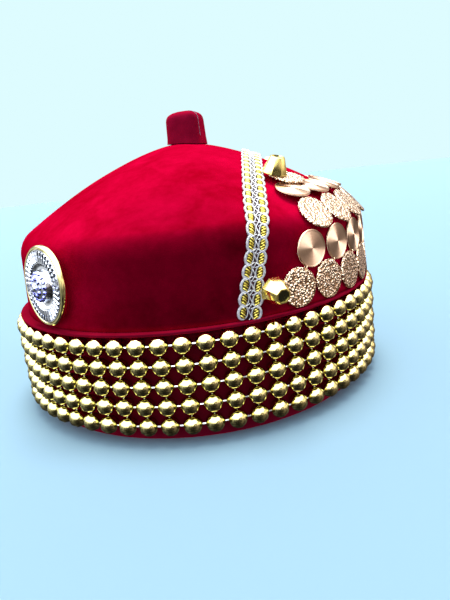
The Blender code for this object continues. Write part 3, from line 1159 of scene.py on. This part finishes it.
@dataclass(frozen=True)
class StoneRing:
    """A ring of equal stones round the brooch's middle, each leaning outwards."""

    count: int
    radius: float
    height: float
    lean: float
    # share of the cut stone's size along the radius, across it and upwards
    size: tuple[float, float, float]

    def places(self, brooch: Matrix) -> list[Matrix]:
        """Work out where the stones lie.

        Args:
            brooch: Frame of the brooch's back.

        Returns:
            A frame for each stone.
        """
        seat = Matrix.Translation((self.radius, 0.0, self.height)) @ Matrix.Rotation(self.lean, 4, "Y")
        shape = Matrix.Diagonal((*self.size, 1.0))
        turns = [Matrix.Rotation(math.tau * index / self.count, 4, "Z") for index in range(self.count)]
        return [brooch @ turn @ seat @ shape for turn in turns]


@dataclass
class StoneBrooch:
    """The round brooch at the wearer's right back."""

    shape: CrownShape
    gold: bpy.types.Material
    silver: bpy.types.Material
    clear: bpy.types.Material
    violet: bpy.types.Material
    azimuth: float = math.radians(-127.8)
    turn: float = math.radians(-4.5)
    up: float = 20.4 * MM
    steps: int = 64
    # radius and height in millimetres of each point of the gold rim, from the middle of its back
    rim_line: tuple[tuple[float, float], ...] = (
        (0.0, 0.0), (18.2, 0.0), (18.8, 0.5), (19.0, 1.4), (18.8, 2.4), (18.2, 2.9),
        (17.5, 2.9), (17.1, 2.5),
    )
    # the same of the silver dish inside it, from its outer lip to the top of its boss
    dish_line: tuple[tuple[float, float], ...] = (
        (17.15, 2.4), (16.95, 3.0), (16.6, 3.0), (16.4, 2.2), (11.3, 2.2), (11.1, 2.8),
        (10.8, 2.8), (9.9, 2.0), (9.0, 1.7), (8.1, 1.9), (7.6, 2.6), (7.2, 4.2), (5.4, 5.6),
        (2.6, 6.3), (0.0, 6.4),
    )
    baguette_rings: tuple[StoneRing, ...] = (
        StoneRing(40, 15.3 * MM, 2.5 * MM, 0.0, (0.55, 1.0, 1.0)),
        StoneRing(40, 12.7 * MM, 2.5 * MM, 0.0, (0.78, 1.0, 1.0)),
    )
    cluster_rings: tuple[StoneRing, ...] = (
        StoneRing(16, 6.4 * MM, 4.7 * MM, math.radians(38), (1.05, 1.05, 1.05)),
        StoneRing(9, 3.9 * MM, 5.9 * MM, math.radians(18), (1.15, 1.15, 1.15)),
    )
    middle_stone: StoneRing = StoneRing(1, 0.0, 6.3 * MM, 0.0, (2.0, 2.0, 2.0))
    baguette_size: tuple[float, float, float] = (3.8 * MM, 1.7 * MM, 0.9 * MM)
    baguette_slope: tuple[float, float] = (0.4 * MM, 0.45 * MM)
    round_radius: float = 1.0 * MM
    round_girdle: float = 0.5 * MM
    round_slope: tuple[float, float] = (0.42 * MM, 0.38 * MM)

    def place(self) -> Matrix:
        """Place the brooch with its front edge off the crown's wall.

        Returns:
            Frame of the brooch's back.
        """
        station = self.shape.where(self.up, "distance")
        lift = CLEARANCE + station.radius * (1 - math.cos(self.turn))
        return self.shape.place(station, self.azimuth, lift) @ Matrix.Rotation(self.turn, 4, "Y")

    def build(self) -> None:
        """Build the setting and set its stones."""
        place = self.place()
        self.build_setting("brooch_rim", self.rim_line, place, self.gold, ["brooch"])
        self.build_setting("brooch_dish", self.dish_line, place, self.silver)
        clear, violet = bmesh.new(), bmesh.new()
        baguette, round_stone = self.baguette(), self.round_stone()
        for ring in self.baguette_rings:
            stamp(clear, baguette, ring.places(place))
        for ring in self.cluster_rings:
            stamp(violet, round_stone, ring.places(place))
        stamp(clear, round_stone, self.middle_stone.places(place))
        for name, bm, glass in (
            ("brooch_stones", clear, self.clear),
            ("brooch_cluster", violet, self.violet),
        ):
            finish_piece(name, as_mesh(bm, name), [glass], crease=CUT)

    def build_setting(
        self,
        name: str,
        line: Sequence[tuple[float, float]],
        place: Matrix,
        metal: bpy.types.Material,
        stands_for: Sequence[str] = (),
    ) -> None:
        """Turn one of the two plates that hold the stones.

        Args:
            name: The piece's name.
            line: Radius and height in millimetres of each point of its section.
            place: Frame of the brooch's back.
            metal: Its material.
            stands_for: The CAD nodes that it replaces.
        """
        mesh = turned(name, [(radius * MM, height * MM) for radius, height in line], self.steps)
        mesh.transform(place)
        finish_piece(name, mesh, [metal], stands_for)

    def baguette(self) -> bpy.types.Mesh:
        """Cut a long stone with a table and stepped sides.

        Returns:
            The stone, lying along X.
        """
        bm = bmesh.new()
        bmesh.ops.create_cube(bm, size=1.0)
        bmesh.ops.scale(bm, vec=self.baguette_size, verts=bm.verts)
        return self.with_table(bm, "baguette", self.baguette_slope)

    def round_stone(self) -> bpy.types.Mesh:
        """Cut a round stone with a table, eight crown facets and a girdle.

        Returns:
            The stone.
        """
        bm = bmesh.new()
        bmesh.ops.create_cone(
            bm, cap_ends=True, segments=8, radius1=self.round_radius, radius2=self.round_radius,
            depth=self.round_girdle)
        return self.with_table(bm, "round_stone", self.round_slope)

    @staticmethod
    def with_table(bm: bmesh.types.BMesh, name: str, slope: tuple[float, float]) -> bpy.types.Mesh:
        """Raise a stone's top face into facets that slope up to a table.

        Args:
            bm: The stone so far, which is freed.
            name: The mesh's name.
            slope: How far in and how far up the facets reach.

        Returns:
            The cut stone.
        """
        top = [face for face in bm.faces if face.normal.z > 0.5]
        inwards, upwards = slope
        bmesh.ops.inset_region(bm, faces=top, thickness=inwards, depth=upwards, use_even_offset=True)
        return closed_mesh(bm, name)


class DiscKind(Enum):
    """How a disc of the bib was finished."""

    HAMMERED = "hammered"
    SPUN = "spun"


@dataclass(frozen=True)
class BibRow:
    """One row of discs: how many row steps up its middles are, and whether its discs lie like shingles.

    A row with a braid gap ends that far in front of the braid.
    """

    kind: DiscKind
    steps_up: float
    braid_gap: float | None = None
    shingled: bool = False
    corners_only: bool = False


@dataclass
class DiscBib:
    """The bib of linked discs on the hat's front."""

    shape: CrownShape
    braid: LoopBraid
    hammered: bpy.types.Material
    spun: bpy.types.Material
    link: bpy.types.Material
    hammered_diameter: float = 18.3 * MM
    spun_diameter: float = 17.0 * MM
    thickness: float = 1.2 * MM
    disc_gap: float = 0.4 * MM
    row_gap: float = 0.9 * MM
    half_angle: float = math.radians(55.75)
    shingle_tilt: float = math.radians(10)
    rows: tuple[BibRow, ...] = (
        BibRow(DiscKind.HAMMERED, 0.00),
        BibRow(DiscKind.SPUN, 1.00),
        BibRow(DiscKind.HAMMERED, 1.97),
        BibRow(DiscKind.SPUN, 3.00, braid_gap=3.2 * MM, shingled=True),
        BibRow(DiscKind.HAMMERED, 3.66, braid_gap=1.0 * MM, shingled=True, corners_only=True),
    )
    # millimetres in from the edge and up from the back of each point round a disc's edge
    hammered_edge: tuple[tuple[float, float], ...] = (
        (0.3, 0.0), (0.0, 0.3), (0.0, 0.75), (0.15, 1.05), (0.45, 1.2),
    )
    spun_edge: tuple[tuple[float, float], ...] = (
        (0.3, 0.0), (0.0, 0.3), (0.0, 0.8), (0.2, 1.15), (0.5, 1.15), (0.8, 0.9),
    )
    # shares of the radius at which the hammered face has its rings of points
    hammered_rings: tuple[float, ...] = (0.8, 0.65, 0.5, 0.35, 0.2, 0.0)
    hammered_steps: int = 36
    beaten_above: float = 1.1 * MM
    beaten_depth: float = 0.16 * MM
    beaten_width: float = 2.6 * MM
    spun_half_way: float = 1.1 * MM
    spun_middle: float = 1.35 * MM
    spun_steps: int = 48
    wire_radius: float = 0.24 * MM
    ring_radius: float = 0.85 * MM
    ring_reach: float = 1.6 * MM

    def diameter(self, kind: DiscKind) -> float:
        """Diameter of a kind of disc."""
        return self.hammered_diameter if kind is DiscKind.HAMMERED else self.spun_diameter

    def frames(self) -> list[tuple[DiscKind, list[Matrix]]]:
        """Work out where every disc's back lies.

        Returns:
            The kind and the frames of each row, from the hem upwards.
        """
        first_radius = self.shape.foot_radius + CLEARANCE
        first_arc = 2 * self.half_angle * first_radius
        first_count = 1 + int(first_arc / (self.hammered_diameter + self.disc_gap))
        pitch_angle = 2 * self.half_angle / (first_count - 1)
        pitch = pitch_angle * first_radius
        diagonal = (self.hammered_diameter + self.spun_diameter) / 2 + self.row_gap
        row_step = math.sqrt(diagonal ** 2 - (pitch / 2) ** 2)
        found = []
        for number, row in enumerate(self.rows):
            distance = self.hammered_diameter / 2 + row.steps_up * row_step
            station = self.shape.where(distance, "distance")
            diameter = self.diameter(row.kind)
            if row.braid_gap is None:
                count = first_count - number
                end_angle = self.half_angle - number * pitch_angle / 2
            else:
                forward = self.braid.top_forward + self.braid.width / 2 + row.braid_gap + diameter / 2
                end_angle = math.acos(forward / station.radius)
                count = 1 + int(2 * end_angle * station.radius / (diameter + self.disc_gap))
            if row.corners_only:
                count = 2
            edge = Matrix.Translation((0.0, diameter / 2, 0.0))
            turn_down = -self.shingle_tilt if row.shingled else 0.0
            tilt = edge @ Matrix.Rotation(turn_down, 4, "X") @ edge.inverted()
            turns = [end_angle * (2 * place / (count - 1) - 1) for place in range(count)]
            found.append((row.kind, [self.shape.place(station, turn, CLEARANCE) @ tilt for turn in turns]))
        return found

    def build(self) -> None:
        """Build the rows of discs and the rings that link them."""
        dressed = {
            DiscKind.HAMMERED: (self.hammered_disc(), self.hammered, "hammered_champagne"),
            DiscKind.SPUN: (self.spun_disc(), self.spun, "spun_rose_gold"),
        }
        rows = self.frames()
        for number, (kind, places) in enumerate(rows, start=1):
            disc, finish, slot = dressed[kind]
            bm = bmesh.new()
            stamp(bm, disc, places)
            mesh = as_mesh(bm, f"{kind.value}_discs_{number}")
            nodes = [f"disc_{number}_{place:02d}" for place in range(1, len(places) + 1)]
            finish_piece(mesh.name, mesh, [finish], stands_for=nodes, crease=EDGED)
        bm = bmesh.new()
        stamp(bm, self.ring(), self.ring_places(rows))
        mesh = as_mesh(bm, "disc_rings")
        finish_piece(mesh.name, mesh, [self.link], crease=ROUND)

    def hammered_disc(self) -> bpy.types.Mesh:
        """Turn a disc with a rounded edge and beat its face.

        Returns:
            The disc, with the middle of its back at the origin.
        """
        radius = self.hammered_diameter / 2
        profile = [(0.0, 0.0), *((radius - inwards * MM, up * MM) for inwards, up in self.hammered_edge)]
        profile += [(radius * share, self.thickness) for share in self.hammered_rings]
        mesh = turned("hammered_disc", profile, self.hammered_steps)
        for vertex in mesh.vertices:
            if vertex.co.z > self.beaten_above:
                vertex.co.z += self.beaten_depth * noise.noise(vertex.co / self.beaten_width)
        return mesh

    def spun_disc(self) -> bpy.types.Mesh:
        """Turn a disc with a raised rim and a slightly raised middle, and chart its turning.

        Returns:
            The disc, with the middle of its back at the origin.
        """
        radius = self.spun_diameter / 2
        profile = [(0.0, 0.0), *((radius - inwards * MM, up * MM) for inwards, up in self.spun_edge)]
        profile += [(radius / 2, self.spun_half_way), (0.0, self.spun_middle)]
        mesh = turned("spun_disc", profile, self.spun_steps)
        chart = mesh.uv_layers.new(name="turning")
        for face in mesh.polygons:
            middle = math.atan2(face.center.y, face.center.x)
            for loop in face.loop_indices:
                corner = mesh.vertices[mesh.loops[loop].vertex_index].co
                turn = middle
                if corner.xy.length > DOUBLE:
                    away = math.atan2(corner.y, corner.x) - middle
                    turn += math.atan2(math.sin(away), math.cos(away))
                chart.data[loop].uv = (turn / math.tau, corner.xy.length)
        return mesh

    def ring_places(self, rows: Sequence[tuple[DiscKind, Sequence[Matrix]]]) -> list[Matrix]:
        """Find where a ring links two discs that lie side by side, or one above the other.

        Args:
            rows: The kind and the frames of each row.

        Returns:
            A frame for each ring: X from disc to disc, Z out of the crown.
        """
        lift = Vector((0.0, 0.0, self.thickness / 2))
        discs = [
            (number, self.diameter(kind) / 2, place @ lift, place.to_3x3() @ UP)
            for number, (kind, places) in enumerate(rows) for place in places]
        found = []
        for number, reach, centre, normal in discs:
            for other_number, other_reach, other, _ in discs:
                span = other - centre
                if other_number not in (number, number + 1) or span.length == 0:
                    continue
                gap = span.length - reach - other_reach
                ahead = other_number > number or span.dot(normal.cross(UP)) < 0
                if gap < self.ring_reach and ahead:
                    along = span.normalized()
                    across = normal.cross(along).normalized()
                    middle = centre + span * (reach + gap / 2) / span.length
                    found.append(frame_of(along, across, along.cross(across), middle))
        return found

    def ring(self) -> bpy.types.Mesh:
        """Turn a small ring of round wire.

        Returns:
            The ring, which stands on edge along X.
        """
        upright = Matrix.Rotation(math.pi / 2, 3, "X")
        bm = bmesh.new()
        wire = bmesh.ops.create_circle(bm, radius=self.wire_radius, segments=6)["verts"]
        bmesh.ops.rotate(bm, verts=wire, cent=(0, 0, 0), matrix=upright)
        bmesh.ops.translate(bm, verts=wire, vec=(self.ring_radius, 0.0, 0.0))
        spin_whole(bm, 10)
        bmesh.ops.rotate(bm, verts=bm.verts, cent=(0, 0, 0), matrix=upright)
        return closed_mesh(bm, "ring")


@dataclass
class ConeStuds:
    """The four faceted studs at the corners of the bib."""

    bib: DiscBib
    gold: bpy.types.Material
    # the sunken end's plating is dark to stand for the dark surroundings it mirrors: painted reflection
    end_painted_dark_reflection: bpy.types.Material
    diameter: float = 13.0 * MM
    top_diameter: float = 7.2 * MM
    height: float = 8.0 * MM
    low_aside: float = 14.8 * MM
    low_up: float = 2.0 * MM
    low_droop: float = math.radians(13)
    low_turn: float = math.radians(6)
    high_aside: float = 5.2 * MM
    high_up: float = 4.1 * MM
    softening: float = 0.22 * MM
    rim: float = 0.45 * MM
    sunk: float = 0.45 * MM
    sunk_slope: float = 0.1 * MM

    def build(self) -> None:
        """Build the studs at the ends of the first and the last row."""
        (_, first_row), *_, (_, last_row) = self.bib.frames()
        over_disc = self.bib.thickness + 2 * CLEARANCE
        stud = self.stud()
        half_side = Matrix.Rotation(math.pi / 8, 4, "Z")
        droop = Matrix.Rotation(self.low_droop, 4, "X")
        for side, end, mirror in (("right", 0, -1), ("left", -1, 1)):
            low_shift = Matrix.Translation((mirror * self.low_aside, self.low_up, over_disc))
            low_turn = Matrix.Rotation(mirror * self.low_turn, 4, "Y")
            low = first_row[end] @ low_shift @ low_turn @ droop
            high = last_row[end] @ Matrix.Translation((mirror * self.high_aside, self.high_up, over_disc))
            for level, place in (("low", low), ("high", high)):
                name = f"cone_stud_{level}_{side}"
                mesh = stud.copy()
                mesh.transform(place @ half_side)
                finish_piece(
                    name, mesh, [self.gold, self.end_painted_dark_reflection], stands_for=[f"stud_{level}_{side}"],
                    crease=STUD)

    def stud(self) -> bpy.types.Mesh:
        """Cut one stud: eight facets, softened edges and a sunken end with a rim.

        Returns:
            The stud, with the middle of its foot at the origin.
        """
        bm = bmesh.new()
        bmesh.ops.create_cone(
            bm, cap_ends=True, segments=8, radius1=self.diameter / 2, radius2=self.top_diameter / 2,
            depth=self.height, matrix=Matrix.Translation((0.0, 0.0, self.height / 2)))
        bmesh.ops.bevel(
            bm, geom=bm.edges[:], offset=self.softening, offset_type="OFFSET", segments=2, profile=0.5,
            affect="EDGES", material=-1)
        top = [face for face in bm.faces if face.normal.z > 0.99]
        bmesh.ops.inset_region(bm, faces=top, thickness=self.rim, depth=0.0, use_even_offset=True)
        bmesh.ops.inset_region(
            bm, faces=top, thickness=self.sunk_slope, depth=-self.sunk, use_even_offset=True)
        # the sunken end takes the dark second material: painted dark reflection
        for face in top:
            face.material_index = 1
        return closed_mesh(bm, "cone_stud")


@dataclass
class Studio:
    """Camera, floor and light."""

    position: tuple[float, float, float] = (0.04143, -0.30583, 0.11801)
    look: tuple[float, float, float] = (-0.07817, 0.96525, -0.24935)
    roll: float = math.radians(-6.5)
    focal_length: float = 30.94
    sensor: float = 36.0
    floor_radius: float = 4.0
    floor_colour: str = "98BBCB"
    sky_colour: str = "DEFCFF"
    shade_tint: str = "DCE6FF"
    mirrored_tint: str = "F4FBFF"
    back_tint: str = "EEF2F0"
    front_tint: str = "FFEEE6"
    brightest: tuple[float, float, float] = (-0.14, -0.16, 0.977)
    dark_spot: tuple[float, float, float] = (0.555, -0.824, 0.12)
    mirrored_sky: float = 5.5
    soft_sky: float = 0.75
    soft_room: float = 0.40
    dark_spot_reach: float = math.radians(18)
    dark_spot_fade: float = 0.08
    overhead_strength: float = 2.4
    overhead_angle: float = math.radians(26)
    overhead_turn: tuple[float, float, float] = (math.radians(-7), math.radians(2), 0.0)

    def build(self) -> None:
        """Set up the camera, the floor, the overhead light and the surroundings."""
        self.build_camera()
        self.build_floor()
        self.build_overhead()
        self.build_surroundings()
        bpy.context.scene.view_settings.view_transform = "Standard"

    def build_camera(self) -> None:
        """Place the camera where the photograph was taken from."""
        camera = bpy.data.cameras.new("camera")
        camera.sensor_fit = "VERTICAL"
        camera.sensor_height = self.sensor
        camera.lens = self.focal_length
        camera.clip_start = 0.01
        holder = bpy.data.objects.new("camera", camera)
        aim = Vector(self.look).to_track_quat("-Z", "Y").to_matrix().to_4x4()
        holder.matrix_world = Matrix.Translation(self.position) @ aim @ Matrix.Rotation(self.roll, 4, "Z")
        bpy.context.scene.collection.objects.link(holder)
        bpy.context.scene.camera = holder

    def build_floor(self) -> None:
        """Lay a plain pale floor."""
        bm = bmesh.new()
        bmesh.ops.create_circle(bm, cap_ends=True, radius=self.floor_radius, segments=96)
        mesh = as_mesh(bm, "floor")
        # matt painted board, too even to show a grain
        material, tree, shader = start_material("pale_matt_board")
        set_inputs(tree, shader, {"Base Color": linear(self.floor_colour), "Roughness": 0.9})
        mesh.materials.append(material)
        floor = bpy.data.objects.new("floor", mesh)
        bpy.context.scene.collection.objects.link(floor)
        floor.visible_glossy = False
        floor.visible_diffuse = False

    def build_overhead(self) -> None:
        """Hang a wide soft light overhead."""
        light = bpy.data.lights.new("overhead", "SUN")
        light.energy = self.overhead_strength
        light.angle = self.overhead_angle
        holder = bpy.data.objects.new("overhead", light)
        holder.rotation_euler = self.overhead_turn
        bpy.context.scene.collection.objects.link(holder)

    def build_surroundings(self) -> None:
        """Make the room: bright above and dim below for what it lights, and pale where it is seen."""
        world = bpy.data.worlds.new("room")
        bpy.context.scene.world = world
        world.use_nodes = True
        tree = world.node_tree
        tree.nodes.clear()
        direction = add_node(tree, "ShaderNodeTexCoord").outputs["Generated"]
        ray = add_node(tree, "ShaderNodeLightPath").outputs
        clutter = add_node(
            tree, "ShaderNodeTexNoise",
            {"Vector": direction, "Scale": 3.2, "Detail": 2.0, "Roughness": 0.5}).outputs["Fac"]
        rise = self.overhead_share(tree, direction, clutter)
        sky = add_node(
            tree, "ShaderNodeMath",
            {0: rise, 1: self.mirrored_sky, 2: self.wall_light(tree, direction, clutter)},
            operation="MULTIPLY_ADD").outputs[0]
        mirrored = add_node(
            tree, "ShaderNodeMath", {0: sky, 1: self.spot_shade(tree, direction)},
            operation="MULTIPLY").outputs[0]
        soft = add_node(
            tree, "ShaderNodeMath", {0: rise, 1: self.soft_sky, 2: self.soft_room},
            operation="MULTIPLY_ADD").outputs[0]
        strength = add_node(
            tree, "ShaderNodeMix", {MIX_FACTOR: ray["Is Glossy Ray"], MIX_LOW: soft, MIX_HIGH: mirrored},
            data_type="FLOAT").outputs[0]
        tint = add_node(
            tree, "ShaderNodeMix",
            {MIX_FACTOR: ray["Is Glossy Ray"], MIX_A: linear(self.shade_tint),
             MIX_B: self.mirror_tint(tree, direction, rise)},
            data_type="RGBA").outputs[MIX_RESULT]
        room = add_node(tree, "ShaderNodeBackground", {"Color": tint, "Strength": strength}).outputs[0]
        seen = add_node(
            tree, "ShaderNodeBackground", {"Color": linear(self.sky_colour), "Strength": 1.0}).outputs[0]
        both = add_node(
            tree, "ShaderNodeMixShader", {0: ray["Is Camera Ray"], 1: room, 2: seen}).outputs[0]
        add_node(tree, "ShaderNodeOutputWorld", {"Surface": both})

    def overhead_share(
        self, tree: bpy.types.NodeTree, direction: bpy.types.NodeSocket, clutter: bpy.types.NodeSocket,
    ) -> bpy.types.NodeSocket:
        """Work out how far each direction reaches into the bright patch overhead, whose edge is uneven.

        Args:
            tree: The world's node tree.
            direction: The direction.
            clutter: The noise that makes the room uneven.

        Returns:
            A share from 0 to 1.
        """
        towards = add_node(
            tree, "ShaderNodeVectorMath", {0: direction, 1: self.brightest},
            operation="DOT_PRODUCT").outputs["Value"]
        uneven = add_node(
            tree, "ShaderNodeMath", {0: clutter, 1: 0.3, 2: towards}, operation="MULTIPLY_ADD").outputs[0]
        return add_node(
            tree, "ShaderNodeMapRange", {"Value": uneven, "From Min": 0.29, "From Max": 0.80},
            interpolation_type="SMOOTHSTEP").outputs[0]

    def wall_light(
        self, tree: bpy.types.NodeTree, direction: bpy.types.NodeSocket, clutter: bpy.types.NodeSocket,
    ) -> bpy.types.NodeSocket:
        """Light the walls: brighter with height, towards either side, and in patches like windows.

        Args:
            tree: The world's node tree.
            direction: The direction.
            clutter: The noise that makes the room uneven.

        Returns:
            The walls' strength.
        """
        parts = add_node(tree, "ShaderNodeSeparateXYZ", {0: direction}).outputs
        walls = add_node(
            tree, "ShaderNodeMapRange",
            {"Value": parts["Z"], "From Min": -0.45, "From Max": 0.35, "To Min": 0.07, "To Max": 0.55},
            interpolation_type="SMOOTHSTEP").outputs[0]
        windows = add_node(
            tree, "ShaderNodeMapRange",
            {"Value": clutter, "From Min": 0.42, "From Max": 0.62, "To Min": 0.5, "To Max": 1.9},
            interpolation_type="SMOOTHSTEP").outputs[0]
        to_side = add_node(
            tree, "ShaderNodeMath", {0: parts["X"], 1: parts["X"]}, operation="MULTIPLY").outputs[0]
        opening = add_node(
            tree, "ShaderNodeMapRange", {"Value": to_side, "To Min": 0.42, "To Max": 2.9}).outputs[0]
        lit = add_node(tree, "ShaderNodeMath", {0: walls, 1: opening}, operation="MULTIPLY").outputs[0]
        return add_node(tree, "ShaderNodeMath", {0: lit, 1: windows}, operation="MULTIPLY").outputs[0]

    def spot_shade(
        self, tree: bpy.types.NodeTree, direction: bpy.types.NodeSocket,
    ) -> bpy.types.NodeSocket:
        """Dim the round dark spot that the beads mirror, but for the glint in its middle.

        Args:
            tree: The world's node tree.
            direction: The direction.

        Returns:
            The share of the light that is left.
        """
        towards = add_node(
            tree, "ShaderNodeVectorMath", {0: direction, 1: self.dark_spot},
            operation="DOT_PRODUCT").outputs["Value"]
        apart = add_node(tree, "ShaderNodeMath", {0: towards}, operation="ARCCOSINE").outputs[0]
        faded = self.dark_spot_reach + self.dark_spot_fade
        shade = add_node(
            tree, "ShaderNodeMapRange",
            {"Value": apart, "From Min": self.dark_spot_reach, "From Max": faded, "To Min": 0.25}).outputs[0]
        glint = add_node(
            tree, "ShaderNodeMapRange",
            {"Value": apart, "From Min": 0.14, "From Max": 0.20, "To Min": 1.0, "To Max": 0.0}).outputs[0]
        return add_node(tree, "ShaderNodeMath", {0: shade, 1: glint}, operation="MAXIMUM").outputs[0]

    def mirror_tint(
        self, tree: bpy.types.NodeTree, direction: bpy.types.NodeSocket, rise: bpy.types.NodeSocket,
    ) -> bpy.types.NodeSocket:
        """Tint what is mirrored: warmer towards the hat's front and cooler overhead.

        Args:
            tree: The world's node tree.
            direction: The direction.
            rise: How far it reaches into the bright patch overhead.

        Returns:
            The tint.
        """
        eastward = add_node(tree, "ShaderNodeSeparateXYZ", {0: direction}).outputs["X"]
        share = add_node(
            tree, "ShaderNodeMapRange", {"Value": eastward, "From Min": -0.5, "From Max": 0.5}).outputs[0]
        side_tint = add_node(
            tree, "ShaderNodeMix",
            {MIX_FACTOR: share, MIX_A: linear(self.back_tint), MIX_B: linear(self.front_tint)},
            data_type="RGBA").outputs[MIX_RESULT]
        return add_node(
            tree, "ShaderNodeMix", {MIX_FACTOR: rise, MIX_A: side_tint, MIX_B: linear(self.mirrored_tint)},
            data_type="RGBA").outputs[MIX_RESULT]


def main() -> None:
    """Build the hat's looks and its studio."""
    logging.basicConfig(level=logging.INFO, format="%(message)s")
    shape = CrownShape()
    velvet = Velvet().material()
    bead_gold = PlatedMetal("bead_gold_plate", "D4CB92", "B2A76A", 0.06).material()
    stud_gold = PlatedMetal("stud_gold_plate", "FAEBA0", "EDD468", 0.16).material()
    silver = PlatedMetal("silver_plate", "DADCE4", "BFC2CC", 0.14).material()
    link_metal = PlatedMetal("champagne_link_wire", "E9D3B6", "B79674", 0.2).material()
    braid = LoopBraid(
        shape,
        white=Thread("white_braid_cord", "FEFDF4", "E2E2E2", 0.0, 0.6).material(),
        silver=Thread("silver_foil_thread", "FAFAF6", "CFCFD2", 0.2, 0.4).material(),
        gold=Thread("gold_foil_yarn", "EADB6C", "8C7A24", 0.8, 0.42).material(),
        net=Thread("dark_braid_net", "4A1420", "1C0A10", 0.0, 0.9).material(),
    )
    bib = DiscBib(shape, braid, HammeredPlate().material(), SpunPlate().material(), link_metal)
    # a copy of the velvet for the cuff, darker towards grazing views: painted shade on the hem
    cuff_velvet_painted_shading = Velvet("red_cotton_velvet_cuff_painted_shading", "6C0820", "7C0C28", "960A26", "B01032").material()
    # a copy of the velvet for the stub: painted light on its front and painted shade on its edges
    stub_velvet_painted_shading = Velvet("red_cotton_velvet_stub_painted_shading", "720822", "A41238", "A80A2C", "D0163E").material()
    seam_thread = Thread("seam_thread", "A58C9E", "7C5A70", 0.0, 0.7).material()
    VelvetCap(shape, velvet, cuff_velvet_painted_shading, stub_velvet_painted_shading, seam_thread).build()
    BeadCuff(bead_gold, silver).build()
    braid.build()
    StoneBrooch(
        shape, bead_gold, silver,
        clear=CutStone("clear_cut_stones", "D6DAE4", "8A92A8").material(),
        violet=CutStone("violet_cut_stones", "9AA2EA", "3C37A6").material(),
    ).build()
    bib.build()
    # the studs' ends get a dark plating: painted dark reflection
    ConeStuds(bib, stud_gold, PlatedMetal("stud_end_painted_dark_reflection", "5A5C40", "3A3D2C", 0.3).material()).build()
    Studio().build()


if __name__ == "__main__":
    main()
